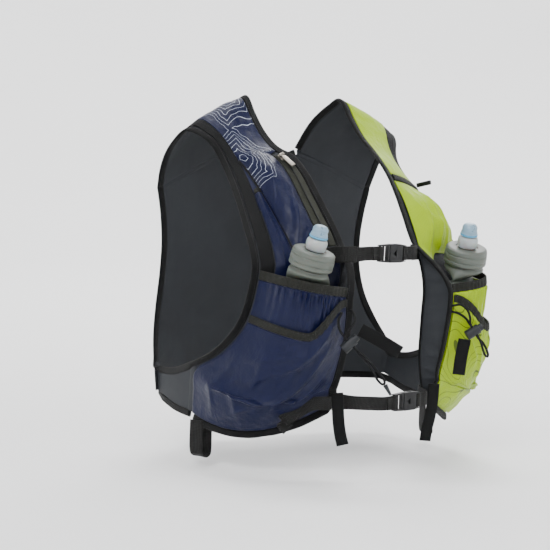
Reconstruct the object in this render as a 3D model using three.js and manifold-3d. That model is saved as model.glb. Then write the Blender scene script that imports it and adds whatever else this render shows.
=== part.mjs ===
// Running hydration vest, worn form. Millimetres, +Z up, the wearer faces -Y.
// Origin: between the shoulders, level with the top of the straps at the neck.
import * as THREE from 'three';
import Module from 'manifold-3d';
import { mergeVertices } from 'three/addons/utils/BufferGeometryUtils.js';

// Body that the vest wraps
const CHEST_HALF_WIDTH = 170;
const FRONT_REACH = 205;
const BACK_REACH = 58;
const VEST_DROP = 351;

// Cloth and trim
const GAP = 0.3;
const LAYER_GAP = 1.4;
const CLOTH = 1.6;
const POCKET_CLOTH = 1.2;
const BINDING_WIDTH = 5.6;
const BINDING_THICKNESS = 4;
const GUSSET_BINDING_WIDTH = 3.4;
const GUSSET_INSET = 0.9;
const MESH_BAND_SHARE = 0.18;

// Bottle pockets and the pockets on their front
const BOTTLE_POCKET_DEPTH = 50;
const FRONT_POCKET_SLACK = 5;
const UPPER_BAND_HEIGHT = 10;
const LOWER_BAND_HEIGHT = 8.5;
const ELASTIC_THICKNESS = 1.6;

// Chest pouches
const RIGHT_POUCH_DEPTH = 11;
const LEFT_POUCH_DEPTH = 15;
const STRETCH_POCKET_DEPTH = 4;
const STRETCH_RIM_WIDTH = 6;
const LEFT_ZIP_BAND_WIDTH = 9;
const LEFT_PULL_LENGTH = 21;
const LEFT_PULL_WIDTH = 5;
const LEFT_PULL_THICKNESS = 3;

// Zip of the right pouch
const CHAIN_WIDTH = 3.2;
const CHAIN_THICKNESS = 1.5;
const SLIDER_LENGTH = 9;
const SLIDER_WIDTH = 6.5;
const SLIDER_THICKNESS = 2.4;
const PULL_LENGTH = 21;
const PULL_WIDTH = 5;
const PULL_THICKNESS = 1.6;
const PULL_PIN_DIAMETER = 1.4;
const KNUCKLE_LENGTH = 2.6;
const KNUCKLE_RADIUS = 1.6;
const SLIDER_EAR = 1;
const PULL_PIN_CLEARANCE = 0.25;

// Soft flasks
const FLASK_HALF_WIDTH = 30;
const FLASK_HALF_DEPTH = 19;
const FLASK_WALL = 1;
const FLASK_CLEARANCE = 1.4;
const NECK_RADIUS = 19.5;
const CAP_RADIUS = 24;
const CAP_HEIGHT = 19;
const CAP_WALL = 2;
const CAP_CLEARANCE = 1;
const SPOUT_RADIUS = 10.5;
const SPOUT_HEIGHT = 13;
const VALVE_RADIUS = 9.2;
const VALVE_HEIGHT = 14.5;

// Webbing, buckles and tabs
const WEBBING_WIDTH = 15;
const WEBBING_THICKNESS = 1.6;
const ANCHOR_WIDTH = 17.5;
const BUCKLE_LENGTH = 36;
const BUCKLE_WIDTH = 20;
const BUCKLE_THICKNESS = 6.5;
const BUCKLE_WALL = 1.6;
const LADDER_LENGTH = 13;
const BUCKLE_BAR = 1.8;
const LATCH_WINDOW = [1.5, 8];
const LABEL_TAB_WIDTH = 13;
const LABEL_TAB_THICKNESS = 1.8;
const SIDE_LOOP_WIDTH = 18;
const PULL_TAB_WIDTH = 14;
const PULL_TAB_THICKNESS = 2.4;

// Cords and cord locks
const CORD_DIAMETER = 2.6;
const CORD_SIDES = 8;
const CORD_SPACING = 2.9;
const LOCK_LENGTH = 20;
const LOCK_RADIUS = 5.6;
const LOCK_WALL = 1.2;
const LOCK_FLOOR = 1.5;
const LOCK_TRAVEL = 3;
const LOCK_CLEARANCE = 0.3;
const BUTTON_STANDOUT = 4.3;
const CORD_SLOT_WIDTH = 6.2;
const CORD_SLOT_HEIGHT = 3.4;
const CORD_END_LENGTH = 12;
const CORD_END_RADIUS = 2.6;

// Colours
const NAVY = 0x1d2547;
const LIME = 0xb9cc18;
const BLACK = 0x17181b;
const ELASTIC = 0x34352f;
const CHARCOAL = 0x3b4048;
const FLASK_GREY = 0x989e93;
const CLEAR = 0xc9d6da;
const METAL = 0x8d887c;
const WEBBING = 0x303130;

const materials = {
  shell_right: { color: NAVY, roughness: 0.55 },
  shell_left: { color: LIME, roughness: 0.55 },
  base: { color: CHARCOAL, roughness: 0.9 },
  mesh: { color: BLACK, roughness: 0.95 },
  binding: { color: BLACK, roughness: 0.9 },
  elastic: { color: ELASTIC, roughness: 0.85 },
  webbing: { color: WEBBING, roughness: 0.8 },
  plastic: { color: BLACK, roughness: 0.45 },
  metal: { color: METAL, roughness: 0.35, metalness: 0.9 },
  flask: { color: FLASK_GREY, roughness: 0.5 },
  clear: { color: CLEAR, roughness: 0.25 },
  cord: { color: BLACK, roughness: 0.85 },
};

const vest = new THREE.Group();

function add(name, geometry, finish) {
  const mesh = new THREE.Mesh(geometry, new THREE.MeshStandardMaterial(materials[finish]));
  mesh.name = name;
  vest.add(mesh);
  return mesh;
}

// Small helpers
const vector = (x, y, z) => new THREE.Vector3(x, y, z);
const mix = (a, b, t) => a + (b - a) * t;
const clamp = (t) => Math.min(Math.max(t, 0), 1);
const smooth = (t) => clamp(t) ** 2 * (3 - 2 * clamp(t));
const arch = (t) => Math.sin(Math.PI * clamp(t));

function table(columns, rows) {
  return rows.map((row) => Object.fromEntries(columns.map((column, i) => [column, row[i]])));
}

// Catmull-Rom reading of one column of a table at a fractional row
function read(rows, column, v) {
  const last = rows.length - 1;
  const i = Math.min(Math.max(Math.floor(v), 0), last - 1);
  const t = v - i;
  const at = (k) => rows[Math.min(Math.max(k, 0), last)][column];
  const [a, b, c, d] = [at(i - 1), at(i), at(i + 1), at(i + 2)];
  return b + 0.5 * t * (c - a + t * (2 * a - 5 * b + 4 * c - d + t * (3 * (b - c) + d - a)));
}

// A closed solid from its points and triangles, with its faces turned outwards
function solid(points, faces) {
  let volume = 0;
  for (const [a, b, c] of faces) {
    volume += points[a].dot(vector(0, 0, 0).crossVectors(points[b], points[c]));
  }
  const order = volume < 0 ? [0, 2, 1] : [0, 1, 2];
  const geometry = new THREE.BufferGeometry();
  const positions = points.flatMap((point) => point.toArray());
  geometry.setAttribute('position', new THREE.Float32BufferAttribute(positions, 3));
  geometry.setIndex(faces.flatMap((face) => order.map((k) => face[k])));
  geometry.computeVertexNormals();
  return geometry;
}

// A sheet of cloth: wallAt(s, t) gives its inner and its outer point
function sheet(columns, rows, wallAt) {
  const points = [];
  const faces = [];
  const index = (layer, i, j) => (layer * (rows + 1) + j) * (columns + 1) + i;
  const quad = (a, b, c, d) => faces.push([a, b, c], [a, c, d]);
  for (const layer of [0, 1]) {
    for (let j = 0; j <= rows; j += 1) {
      for (let i = 0; i <= columns; i += 1) points.push(wallAt(i / columns, j / rows)[layer]);
    }
  }
  for (let j = 0; j < rows; j += 1) {
    for (let i = 0; i < columns; i += 1) {
      quad(index(1, i, j), index(1, i + 1, j), index(1, i + 1, j + 1), index(1, i, j + 1));
      quad(index(0, i, j), index(0, i, j + 1), index(0, i + 1, j + 1), index(0, i + 1, j));
    }
  }
  for (let i = 0; i < columns; i += 1) {
    quad(index(0, i, 0), index(0, i + 1, 0), index(1, i + 1, 0), index(1, i, 0));
    quad(index(0, i + 1, rows), index(0, i, rows), index(1, i, rows), index(1, i + 1, rows));
  }
  for (let j = 0; j < rows; j += 1) {
    quad(index(0, 0, j + 1), index(0, 0, j), index(1, 0, j), index(1, 0, j + 1));
    quad(index(0, columns, j), index(0, columns, j + 1), index(1, columns, j + 1), index(1, columns, j));
  }
  return solid(points, faces);
}

// A strip of constant section along a path of frames { at, side, up }
function strip(frames, section) {
  const points = [];
  const faces = [];
  const sides = section.length;
  for (const { at, side, up } of frames) {
    for (const [a, b] of section) {
      points.push(at.clone().addScaledVector(side, a).addScaledVector(up, b));
    }
  }
  for (let k = 0; k + 1 < frames.length; k += 1) {
    for (let i = 0; i < sides; i += 1) {
      const [a, b] = [k * sides + i, k * sides + ((i + 1) % sides)];
      faces.push([a, b, b + sides], [a, b + sides, a + sides]);
    }
  }
  const end = (frames.length - 1) * sides;
  for (let i = 1; i + 1 < sides; i += 1) {
    faces.push([0, i + 1, i], [end, end + i, end + i + 1]);
  }
  return solid(points, faces);
}

const flat = (width, thickness) => {
  const [a, b] = [width / 2, thickness / 2];
  return [[-a, -b], [a, -b], [a, b], [-a, b]];
};

const rounded = (width, thickness) => {
  const [a, b] = [width / 2, thickness / 2];
  return [[-a, 0], [-a / 2, -b], [a / 2, -b], [a, 0], [a / 2, b], [-a / 2, b]];
};

// Frames along a chosen line of points, each with the way its flat side faces
function framesAlong(points, facing) {
  const curve = new THREE.CatmullRomCurve3(points, false, 'centripetal');
  return (steps) => Array.from({ length: steps + 1 }, (_, k) => {
    const t = k / steps;
    const along = curve.getTangent(t);
    const up = facing(t).clone().addScaledVector(along, -facing(t).dot(along)).normalize();
    return { at: curve.getPoint(t), side: vector(0, 0, 0).crossVectors(along, up), up };
  });
}

// Booleans
const wasm = await Module();
wasm.setup();

function toSolid(geometry) {
  const bare = geometry.clone();
  for (const name of ['normal', 'uv']) bare.deleteAttribute(name);
  const merged = mergeVertices(bare, 1e-4);
  return new wasm.Manifold(new wasm.Mesh({
    numProp: 3,
    vertProperties: Float32Array.from(merged.attributes.position.array),
    triVerts: Uint32Array.from(merged.index.array),
  }));
}

function fromSolid(body) {
  const mesh = body.getMesh();
  const geometry = new THREE.BufferGeometry();
  geometry.setAttribute('position', new THREE.Float32BufferAttribute(mesh.vertProperties, 3));
  geometry.setIndex(Array.from(mesh.triVerts));
  geometry.computeVertexNormals();
  return geometry;
}

function box(x, y, z, at = [0, 0, 0]) {
  return new THREE.BoxGeometry(x, y, z).translate(...at);
}

// Front panel: from the yoke seam behind the shoulder, over the crest, to the hem.
// x in shares of the half width, y of the reach to the front or back, z of the drop;
// crown and sag are shares of the row's own width.
const panelRows = table(
  ['mx', 'my', 'mz', 'lx', 'ly', 'lz', 'crown', 'sag'],
  [
    [0.294, 0.9, -0.171, 0.859, 0.76, -0.285, 0.03, 0],
    [0.353, 0.64, -0.08, 0.876, 0.57, -0.205, 0.04, 0],
    [0.4, 0.29, -0.023, 0.865, 0.31, -0.14, 0.04, 0],
    [0.424, 0, 0, 0.824, 0, -0.094, 0.04, 0],
    [0.429, -0.078, -0.051, 0.771, -0.088, -0.114, 0.04, 0],
    [0.429, -0.176, -0.108, 0.729, -0.137, -0.142, 0.04, 0],
    [0.418, -0.288, -0.151, 0.706, -0.185, -0.179, 0.04, 0],
    [0.376, -0.39, -0.177, 0.706, -0.254, -0.222, 0.05, 0],
    [0.362, -0.493, -0.222, 0.735, -0.366, -0.279, 0.05, 0],
    [0.353, -0.585, -0.282, 0.765, -0.463, -0.336, 0.05, 0],
    [0.338, -0.668, -0.342, 0.788, -0.541, -0.387, 0.05, 0],
    [0.324, -0.746, -0.402, 0.806, -0.61, -0.436, 0.04, 0],
    [0.324, -0.815, -0.462, 0.818, -0.654, -0.481, 0.03, 0],
    [0.335, -0.844, -0.516, 0.826, -0.663, -0.501, 0.02, 0],
    [0.353, -0.844, -0.57, 0.832, -0.663, -0.53, 0.02, 0],
    [0.353, -0.839, -0.632, 0.859, -0.654, -0.604, 0.04, 0.01],
    [0.353, -0.834, -0.701, 0.9, -0.62, -0.678, 0.07, 0.01],
    [0.353, -0.829, -0.769, 0.947, -0.507, -0.752, 0.11, 0.02],
    [0.359, -0.834, -0.832, 0.979, -0.312, -0.82, 0.15, 0.05],
    [0.376, -0.84, -0.88, 0.976, -0.293, -0.895, 0.16, 0.1],
    [0.424, -0.84, -0.917, 0.959, -0.273, -0.963, 0.16, 0.14],
  ],
);
const MOUTH = 14;
const HEM = panelRows.length - 1;

const depthOf = (share) => share * (share < 0 ? FRONT_REACH : BACK_REACH);

const panel = panelRows.map((row) => ({
  mx: row.mx * CHEST_HALF_WIDTH,
  my: depthOf(row.my),
  mz: row.mz * VEST_DROP,
  lx: row.lx * CHEST_HALF_WIDTH,
  ly: depthOf(row.ly),
  lz: row.lz * VEST_DROP,
  crown: row.crown,
  sag: row.sag,
}));

const edge = (name, v) => vector(
  read(panel, `${name}x`, v),
  read(panel, `${name}y`, v),
  read(panel, `${name}z`, v),
);
const across = (v) => edge('l', v).sub(edge('m', v));

// The way a row of the panel faces
function outward(v) {
  const middle = (w) => edge('m', clamp(w / HEM) * HEM).add(edge('l', clamp(w / HEM) * HEM));
  return middle(v + 0.5).sub(middle(v - 0.5)).cross(across(v)).normalize();
}

// The panel is faceted on these rows and columns, so that its layers lie flat on each other
const FACET_ROWS = [
  0, 1, 2, 3, 3.5, 4, 5, 6, 7, 8, 9, 10, 11, 11.6, 12.2, 13, 14, 15, 16, 17, 18, 19, HEM,
];
const FACET_COLUMNS = 6;

function panelNode(u, v, height) {
  const chord = across(v);
  const bow = 4 * u * (1 - u) * chord.length();
  const point = edge('m', v).addScaledVector(chord, u);
  point.addScaledVector(outward(v), height + bow * read(panel, 'crown', v));
  return point.add(vector(0, 0, -bow * read(panel, 'sag', v)));
}

// A point of the panel: u from the neck side to the arm side, v down the rows
function onPanel(u, v, height = 0) {
  const below = Math.max(FACET_ROWS.findIndex((row) => row > v), 1);
  const j = v >= HEM ? FACET_ROWS.length - 2 : below - 1;
  const i = Math.min(Math.max(Math.floor(u * FACET_COLUMNS), 0), FACET_COLUMNS - 1);
  const [top, low] = [FACET_ROWS[j], FACET_ROWS[j + 1]];
  const [near, far] = [i / FACET_COLUMNS, (i + 1) / FACET_COLUMNS];
  const [s, t] = [(u - near) / (far - near), (v - top) / (low - top)];
  const row = (w) => panelNode(near, w, height).lerp(panelNode(far, w, height), s);
  return row(top).lerp(row(low), t);
}

const rowsBetween = (from, to) => [
  from, ...FACET_ROWS.filter((row) => row > from + 0.12 && row < to - 0.12), to,
];

const rowLength = (v) => onPanel(0.5, v + 0.5).distanceTo(onPanel(0.5, v - 0.5));
const place = (side, point) => vector(side * point.x, point.y, point.z);

const columnsBetween = (from, to) => Array.from({ length: FACET_COLUMNS + 1 }, (_, k) => k / FACET_COLUMNS)
  .filter((u) => u > from && u < to);

// A layer of cloth on the panel between two lines of u and two of v
function layer(side, columns, lines, { u, inner, outer }) {
  const rows = lines.length - 1;
  return sheet(columns, rows, (s, t) => {
    const line = lines[Math.round(t * rows)];
    const v = typeof line === 'function' ? line(u(s, POUCH_END)) : line;
    const c = u(s, v);
    return [inner(c, v), outer(c, v)].map((height) => place(side, onPanel(c, v, height)));
  });
}

// Heights of the layers above the inner face of the panel
const SEAT = CLOTH + GAP;
const LAYER_TOP = SEAT + POCKET_CLOTH;

// How far the bottle pocket stands off, in shares of its depth, from its mouth to the hem
const swellRows = table(
  ['neck', 'inner', 'middle', 'outer', 'arm'],
  [
    [0.62, 0.92, 1, 0.66, 0],
    [0.62, 0.87, 0.93, 0.6, 0],
    [0.56, 0.8, 0.84, 0.52, 0],
    [0.47, 0.69, 0.72, 0.45, 0],
    [0.36, 0.55, 0.57, 0.36, 0],
    [0.2, 0.34, 0.36, 0.22, 0],
    [0, 0, 0, 0, 0],
  ],
);

function pocketHeight(u, v) {
  const columns = ['neck', 'inner', 'middle', 'outer', 'arm'];
  const row = columns.map((name) => ({ share: read(swellRows, name, v - MOUTH) }));
  return LAYER_TOP + BOTTLE_POCKET_DEPTH * Math.max(read(row, 'share', u * 4), 0);
}

// The front edge of the vest leaves the chest above the pocket mouth and follows the gusset
const LIFT_START = 11.2;

function edgeLift(v) {
  const low = CLOTH / 2 + GAP * 2;
  const high = pocketHeight(0, Math.max(v, MOUTH)) - POCKET_CLOTH / 2;
  return mix(low, high, smooth((v - LIFT_START) / (MOUTH - LIFT_START)));
}

const lowerMouth = (u) => mix(MOUTH + 0.45, MOUTH + 1.7, smooth(u / 0.45));

function frontPocketHeight(u, v) {
  const fromMouth = clamp((v - lowerMouth(u)) / (HEM - lowerMouth(u)));
  const slack = FRONT_POCKET_SLACK * arch(u) * (1 - fromMouth) ** 2;
  return pocketHeight(u, v) + LAYER_GAP + POCKET_CLOTH + slack * smooth((HEM - v) / 2);
}

// Right pouch: plain cloth over the shoulder that swells below the zip's top
const ZIP_TOP = 6.7;
const ZIP_END = 11.45;
const POUCH_END = 13.6;
const ZIP_TAPE = [0.02, 0.2];
const MESH_START = 1 - MESH_BAND_SHARE;

const neckSideOfPouch = (v) => mix(ZIP_TAPE[0], ZIP_TAPE[1] + 0.015, smooth((v - ZIP_TOP + 0.5) / 0.4))
  - (ZIP_TAPE[1] - ZIP_TAPE[0]) * smooth((v - ZIP_END - 0.2) / 0.4);
const flapEdge = (v) => mix(MESH_START - 0.01, 0.5, clamp((v - ZIP_TOP) / (POUCH_END - ZIP_TOP)) ** 0.8);

function pouchHeight(depth, u, from, to, rise, v) {
  const swell = smooth((v - rise[0]) / (rise[1] - rise[0])) * smooth((rise[3] - v) / (rise[3] - rise[2]));
  return LAYER_TOP + depth * swell * arch((u - from) / (to - from)) ** 0.8;
}

const rightPouchHeight = (u, v) => (
  pouchHeight(RIGHT_POUCH_DEPTH, u, neckSideOfPouch(v), flapEdge(v), [5.2, 8, 9.6, 11.3], v));
const STRETCH_TOP = 8.45;
const stretchHeight = (u, v) => (
  pouchHeight(STRETCH_POCKET_DEPTH, u, flapEdge(v), MESH_START, [7.5, 9, 12, POUCH_END], v));

// Left pouch
const LEFT_ZIP = 8.15;
const leftPouchTop = LEFT_ZIP + (LEFT_ZIP_BAND_WIDTH / 2 + 1) / rowLength(LEFT_ZIP);
const leftPouchEnd = (u) => mix(POUCH_END - 0.2, 11.9, smooth(u / 0.35));
const leftPouchLines = () => {
  const fixed = rowsBetween(leftPouchTop, 11.6);
  return [...fixed, ...[0.35, 0.7, 1].map((t) => (u) => mix(11.6, leftPouchEnd(u), t))];
};

function leftPouchHeight(u, v) {
  const web = Math.max(1 - u / 0.3, 0) ** 1.5 * Math.max(edgeLift(v) - LAYER_TOP, 0);
  return pouchHeight(LEFT_POUCH_DEPTH, u, 0, 1, [leftPouchTop - 0.2, 9.8, 10.7, 12], v) + web;
}

// Back panel: half rows from the neckline to the hem, in the same shares
const backRows = table(
  ['edgeX', 'edgeY', 'edgeZ', 'centreY', 'centreZ'],
  [
    [0.859, 0.76, -0.288, 0.93, -0.208],
    [0.818, 0.79, -0.385, 0.97, -0.34],
    [0.8, 0.81, -0.49, 0.99, -0.46],
    [0.82, 0.79, -0.6, 1, -0.58],
    [0.88, 0.64, -0.71, 0.98, -0.7],
    [0.95, 0.34, -0.8, 0.95, -0.8],
    [0.974, 0.2, -0.866, 0.94, -0.866],
    [0.96, 0.2, -0.923, 0.93, -0.923],
  ],
);
const BACK_HEM = backRows.length - 1;
const BACK_COLUMNS = 8;
const BACK_ROWS = 8;
const NECK_SHARE = panelRows[0].mx / panelRows[0].lx;
const YOKE_CROWN = 0.005;

function topEdgeShare(s) {
  const { centreZ, edgeZ } = backRows[0];
  const corner = panelRows[0].mz - 0.004;
  if (s < NECK_SHARE) return mix(centreZ, corner, (s / NECK_SHARE) ** 2);
  const t = (s - NECK_SHARE) / (1 - NECK_SHARE);
  return mix(corner, edgeZ, t) + 4 * t * (1 - t) * YOKE_CROWN;
}

function backPoint(s, v) {
  const a = Math.abs(s);
  const rows = backRows.map((row, k) => ({
    x: s * row.edgeX * CHEST_HALF_WIDTH,
    y: mix(row.centreY, row.edgeY, a ** 3) * BACK_REACH,
    z: (k === 0 ? topEdgeShare(a) : mix(row.centreZ, row.edgeZ, a * a)) * VEST_DROP,
  }));
  return vector(read(rows, 'x', v), read(rows, 'y', v), read(rows, 'z', v));
}

function onBack(s, v, height = 0) {
  const step = 0.01;
  const overS = backPoint(s + step, v).sub(backPoint(s - step, v));
  const overV = backPoint(s, Math.min(v + step, BACK_HEM)).sub(backPoint(s, Math.max(v - step, 0)));
  return backPoint(s, v).addScaledVector(overS.cross(overV).normalize(), height);
}

// Side panel between the front and the back, under the arm
const SIDE_SEAM = 18.1;
const SIDE_COLUMNS = 4;
const SIDE_LAP = 1.06;
const sideRows = table(
  ['topX', 'topY', 'topZ', 'lowX', 'lowY', 'lowZ'],
  [
    [0.98, -0.302, -0.822, 0.961, -0.268, -0.962],
    [0.99, -0.132, -0.858, 0.968, -0.117, -0.952],
    [0.977, 0.18, -0.866, 0.963, 0.18, -0.925],
  ],
).map((row) => ({
  topX: row.topX * CHEST_HALF_WIDTH,
  topY: depthOf(row.topY),
  topZ: row.topZ * VEST_DROP,
  lowX: row.lowX * CHEST_HALF_WIDTH,
  lowY: depthOf(row.lowY),
  lowZ: row.lowZ * VEST_DROP,
}));

function onSide(s, t, height = 0) {
  const at = (name) => mix(read(sideRows, `top${name}`, s * 2), read(sideRows, `low${name}`, s * 2), t);
  return vector(at('X') + height, at('Y'), at('Z'));
}

// Base cloth. The gusset is the front panel's own edge, turned out to the bottle pocket.
const GUSSET_FROM = 11.5;
const GUSSET_TO = HEM - 0.55;

function gusset(side) {
  const lines = rowsBetween(GUSSET_FROM, GUSSET_TO);
  return sheet(1, lines.length - 1, (s, t) => {
    const v = lines[Math.round(t * (lines.length - 1))];
    const chord = across(v).normalize();
    const height = mix(0, edgeLift(v) - POCKET_CLOTH / 2 - GAP, s);
    return [GUSSET_INSET, GUSSET_INSET - POCKET_CLOTH].map((shift) => (
      place(side, onPanel(0, v, height).addScaledVector(chord, shift))));
  });
}

const joined = (...geometries) => fromSolid(geometries.map(toSolid).reduce((all, next) => all.add(next)));

function addBase() {
  const sides = [-1, 1].map((side) => sheet(SIDE_COLUMNS, 2, (s, t) => [0, CLOTH].map((height) => (
    place(side, onSide(mix(0.02, SIDE_LAP, s), t, height))))));
  for (const [side, name] of [[-1, 'right'], [1, 'left']]) {
    const chest = layer(side, FACET_COLUMNS, rowsBetween(0.03, HEM), {
      u: (s) => s, inner: () => 0, outer: () => CLOTH,
    });
    add(`front_panel_${name}`, joined(chest, gusset(side)), 'base');
    add(`mesh_band_${name}`, layer(side, 2, rowsBetween(0.3, POUCH_END - 0.35), {
      u: (s) => mix(MESH_START, 0.985, s), inner: () => SEAT, outer: () => SEAT + 1,
    }), 'mesh');
  }
  const back = sheet(BACK_COLUMNS, BACK_ROWS, (s, t) => [0, CLOTH].map((height) => (
    onBack(mix(-1, 1, s), t * BACK_HEM, height))));
  add('back_panel', joined(back, ...sides), 'base');
}

// Bindings. Each lies against the cloth edge that it closes.
const BINDING_SHIFT = GAP * 2 + BINDING_WIDTH / 2;
const binding = rounded(BINDING_WIDTH, BINDING_THICKNESS);
const plainBinding = flat(BINDING_WIDTH, BINDING_THICKNESS * 0.8);

function bindingFrame(side, point, out, up) {
  return { at: place(side, point.addScaledVector(out, BINDING_SHIFT)), side: place(side, out), up: place(side, up) };
}

function frontBindingFrames(side) {
  const frames = [];
  const corner = 0.8;
  for (const v of rowsBetween(0.12, HEM)) {
    const turn = Math.PI / 4 * smooth((v - HEM + corner) / corner);
    const out = across(v).normalize().multiplyScalar(-Math.cos(turn)).add(vector(0, 0, -Math.sin(turn)));
    frames.push(bindingFrame(side, onPanel(0, v, edgeLift(v)), out.normalize(), outward(v)));
  }
  for (const u of [0.08, ...columnsBetween(0.08, 0.97), 0.97]) {
    const turn = Math.PI / 4 * smooth((u - 0.05) / 0.2) + Math.PI / 4;
    const out = across(HEM).normalize().multiplyScalar(-Math.cos(turn)).add(vector(0, 0, -Math.sin(turn)));
    frames.push(bindingFrame(side, onPanel(u, HEM, edgeLift(HEM)), out.normalize(), outward(HEM)));
  }
  return frames;
}

function armholeFrames(side) {
  const frames = [];
  for (const v of rowsBetween(0.05, SIDE_SEAM - 0.4)) {
    const out = across(v).normalize();
    frames.push(bindingFrame(side, onPanel(1, v, CLOTH / 2 + GAP), out, outward(v)));
  }
  for (let k = 1; k < SIDE_COLUMNS; k += 1) {
    const s = mix(0.02, SIDE_LAP, k / SIDE_COLUMNS);
    frames.push(bindingFrame(side, onSide(s, 0, CLOTH / 2), vector(0, 0, 1), vector(1, 0, 0)));
  }
  for (let k = BACK_ROWS - 1; k >= 0; k -= 1) {
    const v = k < BACK_ROWS - 1 ? Math.max(BACK_HEM * k / BACK_ROWS, 0.12) : BACK_HEM - 1.25;
    const out = onBack(1, v).sub(onBack(0.97, v)).normalize();
    const up = onBack(1, v, 1).sub(onBack(1, v)).normalize();
    frames.push(bindingFrame(side, onBack(1, v, CLOTH / 2), out, up));
  }
  return frames;
}

function addBindings() {
  for (const [side, name] of [[-1, 'right'], [1, 'left']]) {
    add(`binding_front_${name}`, strip(frontBindingFrames(side), binding), 'binding');
    add(`binding_armhole_${name}`, strip(armholeFrames(side), plainBinding), 'binding');
  }
  const neckEnd = (panel[0].mx - BINDING_WIDTH - 2 * GAP) / panel[0].lx;
  const neck = [-neckEnd, -0.25, 0, 0.25, neckEnd].map((s) => (
    bindingFrame(1, onBack(s, 0, CLOTH / 2), vector(0, 0, 1), vector(0, 1, 0))));
  add('binding_neck', strip(neck, plainBinding), 'binding');
  const hem = [];
  for (let k = 0; k <= 3; k += 1) {
    const s = mix(0.04, 0.8, k / 3);
    hem.push(bindingFrame(-1, onSide(s, 1, CLOTH / 2), vector(0, 0, -1), vector(1, 0, 0)));
  }
  for (let k = 0; k <= BACK_COLUMNS; k += 1) {
    const s = mix(-0.97, 0.97, k / BACK_COLUMNS);
    const up = onBack(s, BACK_HEM, 1).sub(onBack(s, BACK_HEM)).normalize();
    hem.push(bindingFrame(1, onBack(s, BACK_HEM, CLOTH / 2), vector(0, 0, -1), up));
  }
  for (let k = 3; k >= 0; k -= 1) {
    const s = mix(0.04, 0.8, k / 3);
    hem.push(bindingFrame(1, onSide(s, 1, CLOTH / 2), vector(0, 0, -1), vector(1, 0, 0)));
  }
  add('binding_hem', strip(hem, plainBinding), 'binding');
}

// Bottle pockets, with the gusset that stands them off the chest
function addBottlePockets() {
  const bandSteps = 12;
  const pocketLines = [MOUTH, 15, 16, 17, 18, 19, HEM];
  const frontLines = [lowerMouth, (u) => mix(lowerMouth(u), 17, 0.5), 17, 18, 19, HEM - 0.04];
  const pocketColumn = (s) => mix(0.004, 0.985, s);
  for (const [side, name, shell] of [[-1, 'right', 'shell_right'], [1, 'left', 'shell_left']]) {
    const lines = rowsBetween(GUSSET_FROM + 0.7, GUSSET_TO);
    const foot = lines.map((v) => {
      const chord = across(v).normalize();
      const at = onPanel(0, v, CLOTH / 2).addScaledVector(chord, GUSSET_INSET - POCKET_CLOTH - GAP - GUSSET_BINDING_WIDTH / 2);
      return { at: place(side, at), side: place(side, chord), up: place(side, outward(v)) };
    });
    add(`gusset_binding_${name}`, strip(foot, flat(GUSSET_BINDING_WIDTH, BINDING_THICKNESS * 0.6)), 'binding');
    add(`bottle_pocket_${name}`, layer(side, bandSteps, pocketLines, {
      u: pocketColumn,
      inner: (u, v) => pocketHeight(u, v) - POCKET_CLOTH,
      outer: pocketHeight,
    }), shell);
    const upper = Array.from({ length: bandSteps + 1 }, (_, k) => {
      const u = pocketColumn(k / bandSteps);
      const height = pocketHeight(u, MOUTH) - POCKET_CLOTH / 2;
      const rise = onPanel(u, MOUTH - 0.3, height).sub(onPanel(u, MOUTH, height)).normalize();
      const at = onPanel(u, MOUTH, height).addScaledVector(rise, GAP + UPPER_BAND_HEIGHT / 2);
      return { at: place(side, at), side: place(side, rise), up: place(side, outward(MOUTH)) };
    });
    add(`upper_band_${name}`, strip(upper, flat(UPPER_BAND_HEIGHT, ELASTIC_THICKNESS)), 'elastic');
    add(`front_pocket_${name}`, layer(side, bandSteps, frontLines, {
      u: pocketColumn,
      inner: (u, v) => frontPocketHeight(u, v) - POCKET_CLOTH,
      outer: frontPocketHeight,
    }), shell);
    const lower = Array.from({ length: bandSteps + 1 }, (_, k) => {
      const u = pocketColumn(k / bandSteps);
      const v = lowerMouth(u);
      const height = frontPocketHeight(u, v) - POCKET_CLOTH / 2;
      const rise = onPanel(u, v - 0.3, height).sub(onPanel(u, v, height)).normalize();
      const at = onPanel(u, v, height).addScaledVector(rise, GAP + LOWER_BAND_HEIGHT / 2);
      return { at: place(side, at), side: place(side, rise), up: place(side, outward(v)) };
    });
    add(`lower_band_${name}`, strip(lower, flat(LOWER_BAND_HEIGHT, ELASTIC_THICKNESS)), 'elastic');
  }
}

// Chest pouches, the stretch pocket beside the right one, and their zips
const ALONG_ZIP = (ZIP_TAPE[0] + ZIP_TAPE[1]) / 2;

function panelBasis(side, u, v, height) {
  const z = outward(v);
  const y = onPanel(u, v - 0.3).sub(onPanel(u, v + 0.3)).normalize();
  const x = vector(0, 0, 0).crossVectors(y, z).normalize();
  const basis = new THREE.Matrix4().makeBasis(x, y, vector(0, 0, 0).crossVectors(x, y));
  const mirrored = side < 0 ? new THREE.Matrix4().makeScale(-1, 1, 1) : new THREE.Matrix4();
  basis.setPosition(onPanel(u, v, height));
  return mirrored.multiply(basis);
}

// Moves a geometry by a matrix, and turns its faces back out where the matrix mirrors it
function moved(geometry, matrix) {
  const result = geometry.clone().applyMatrix4(matrix);
  if (matrix.determinant() < 0) {
    const index = Array.from(result.index.array);
    for (let k = 0; k < index.length; k += 3) [index[k + 1], index[k + 2]] = [index[k + 2], index[k + 1]];
    result.setIndex(index);
  }
  return result;
}

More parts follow.
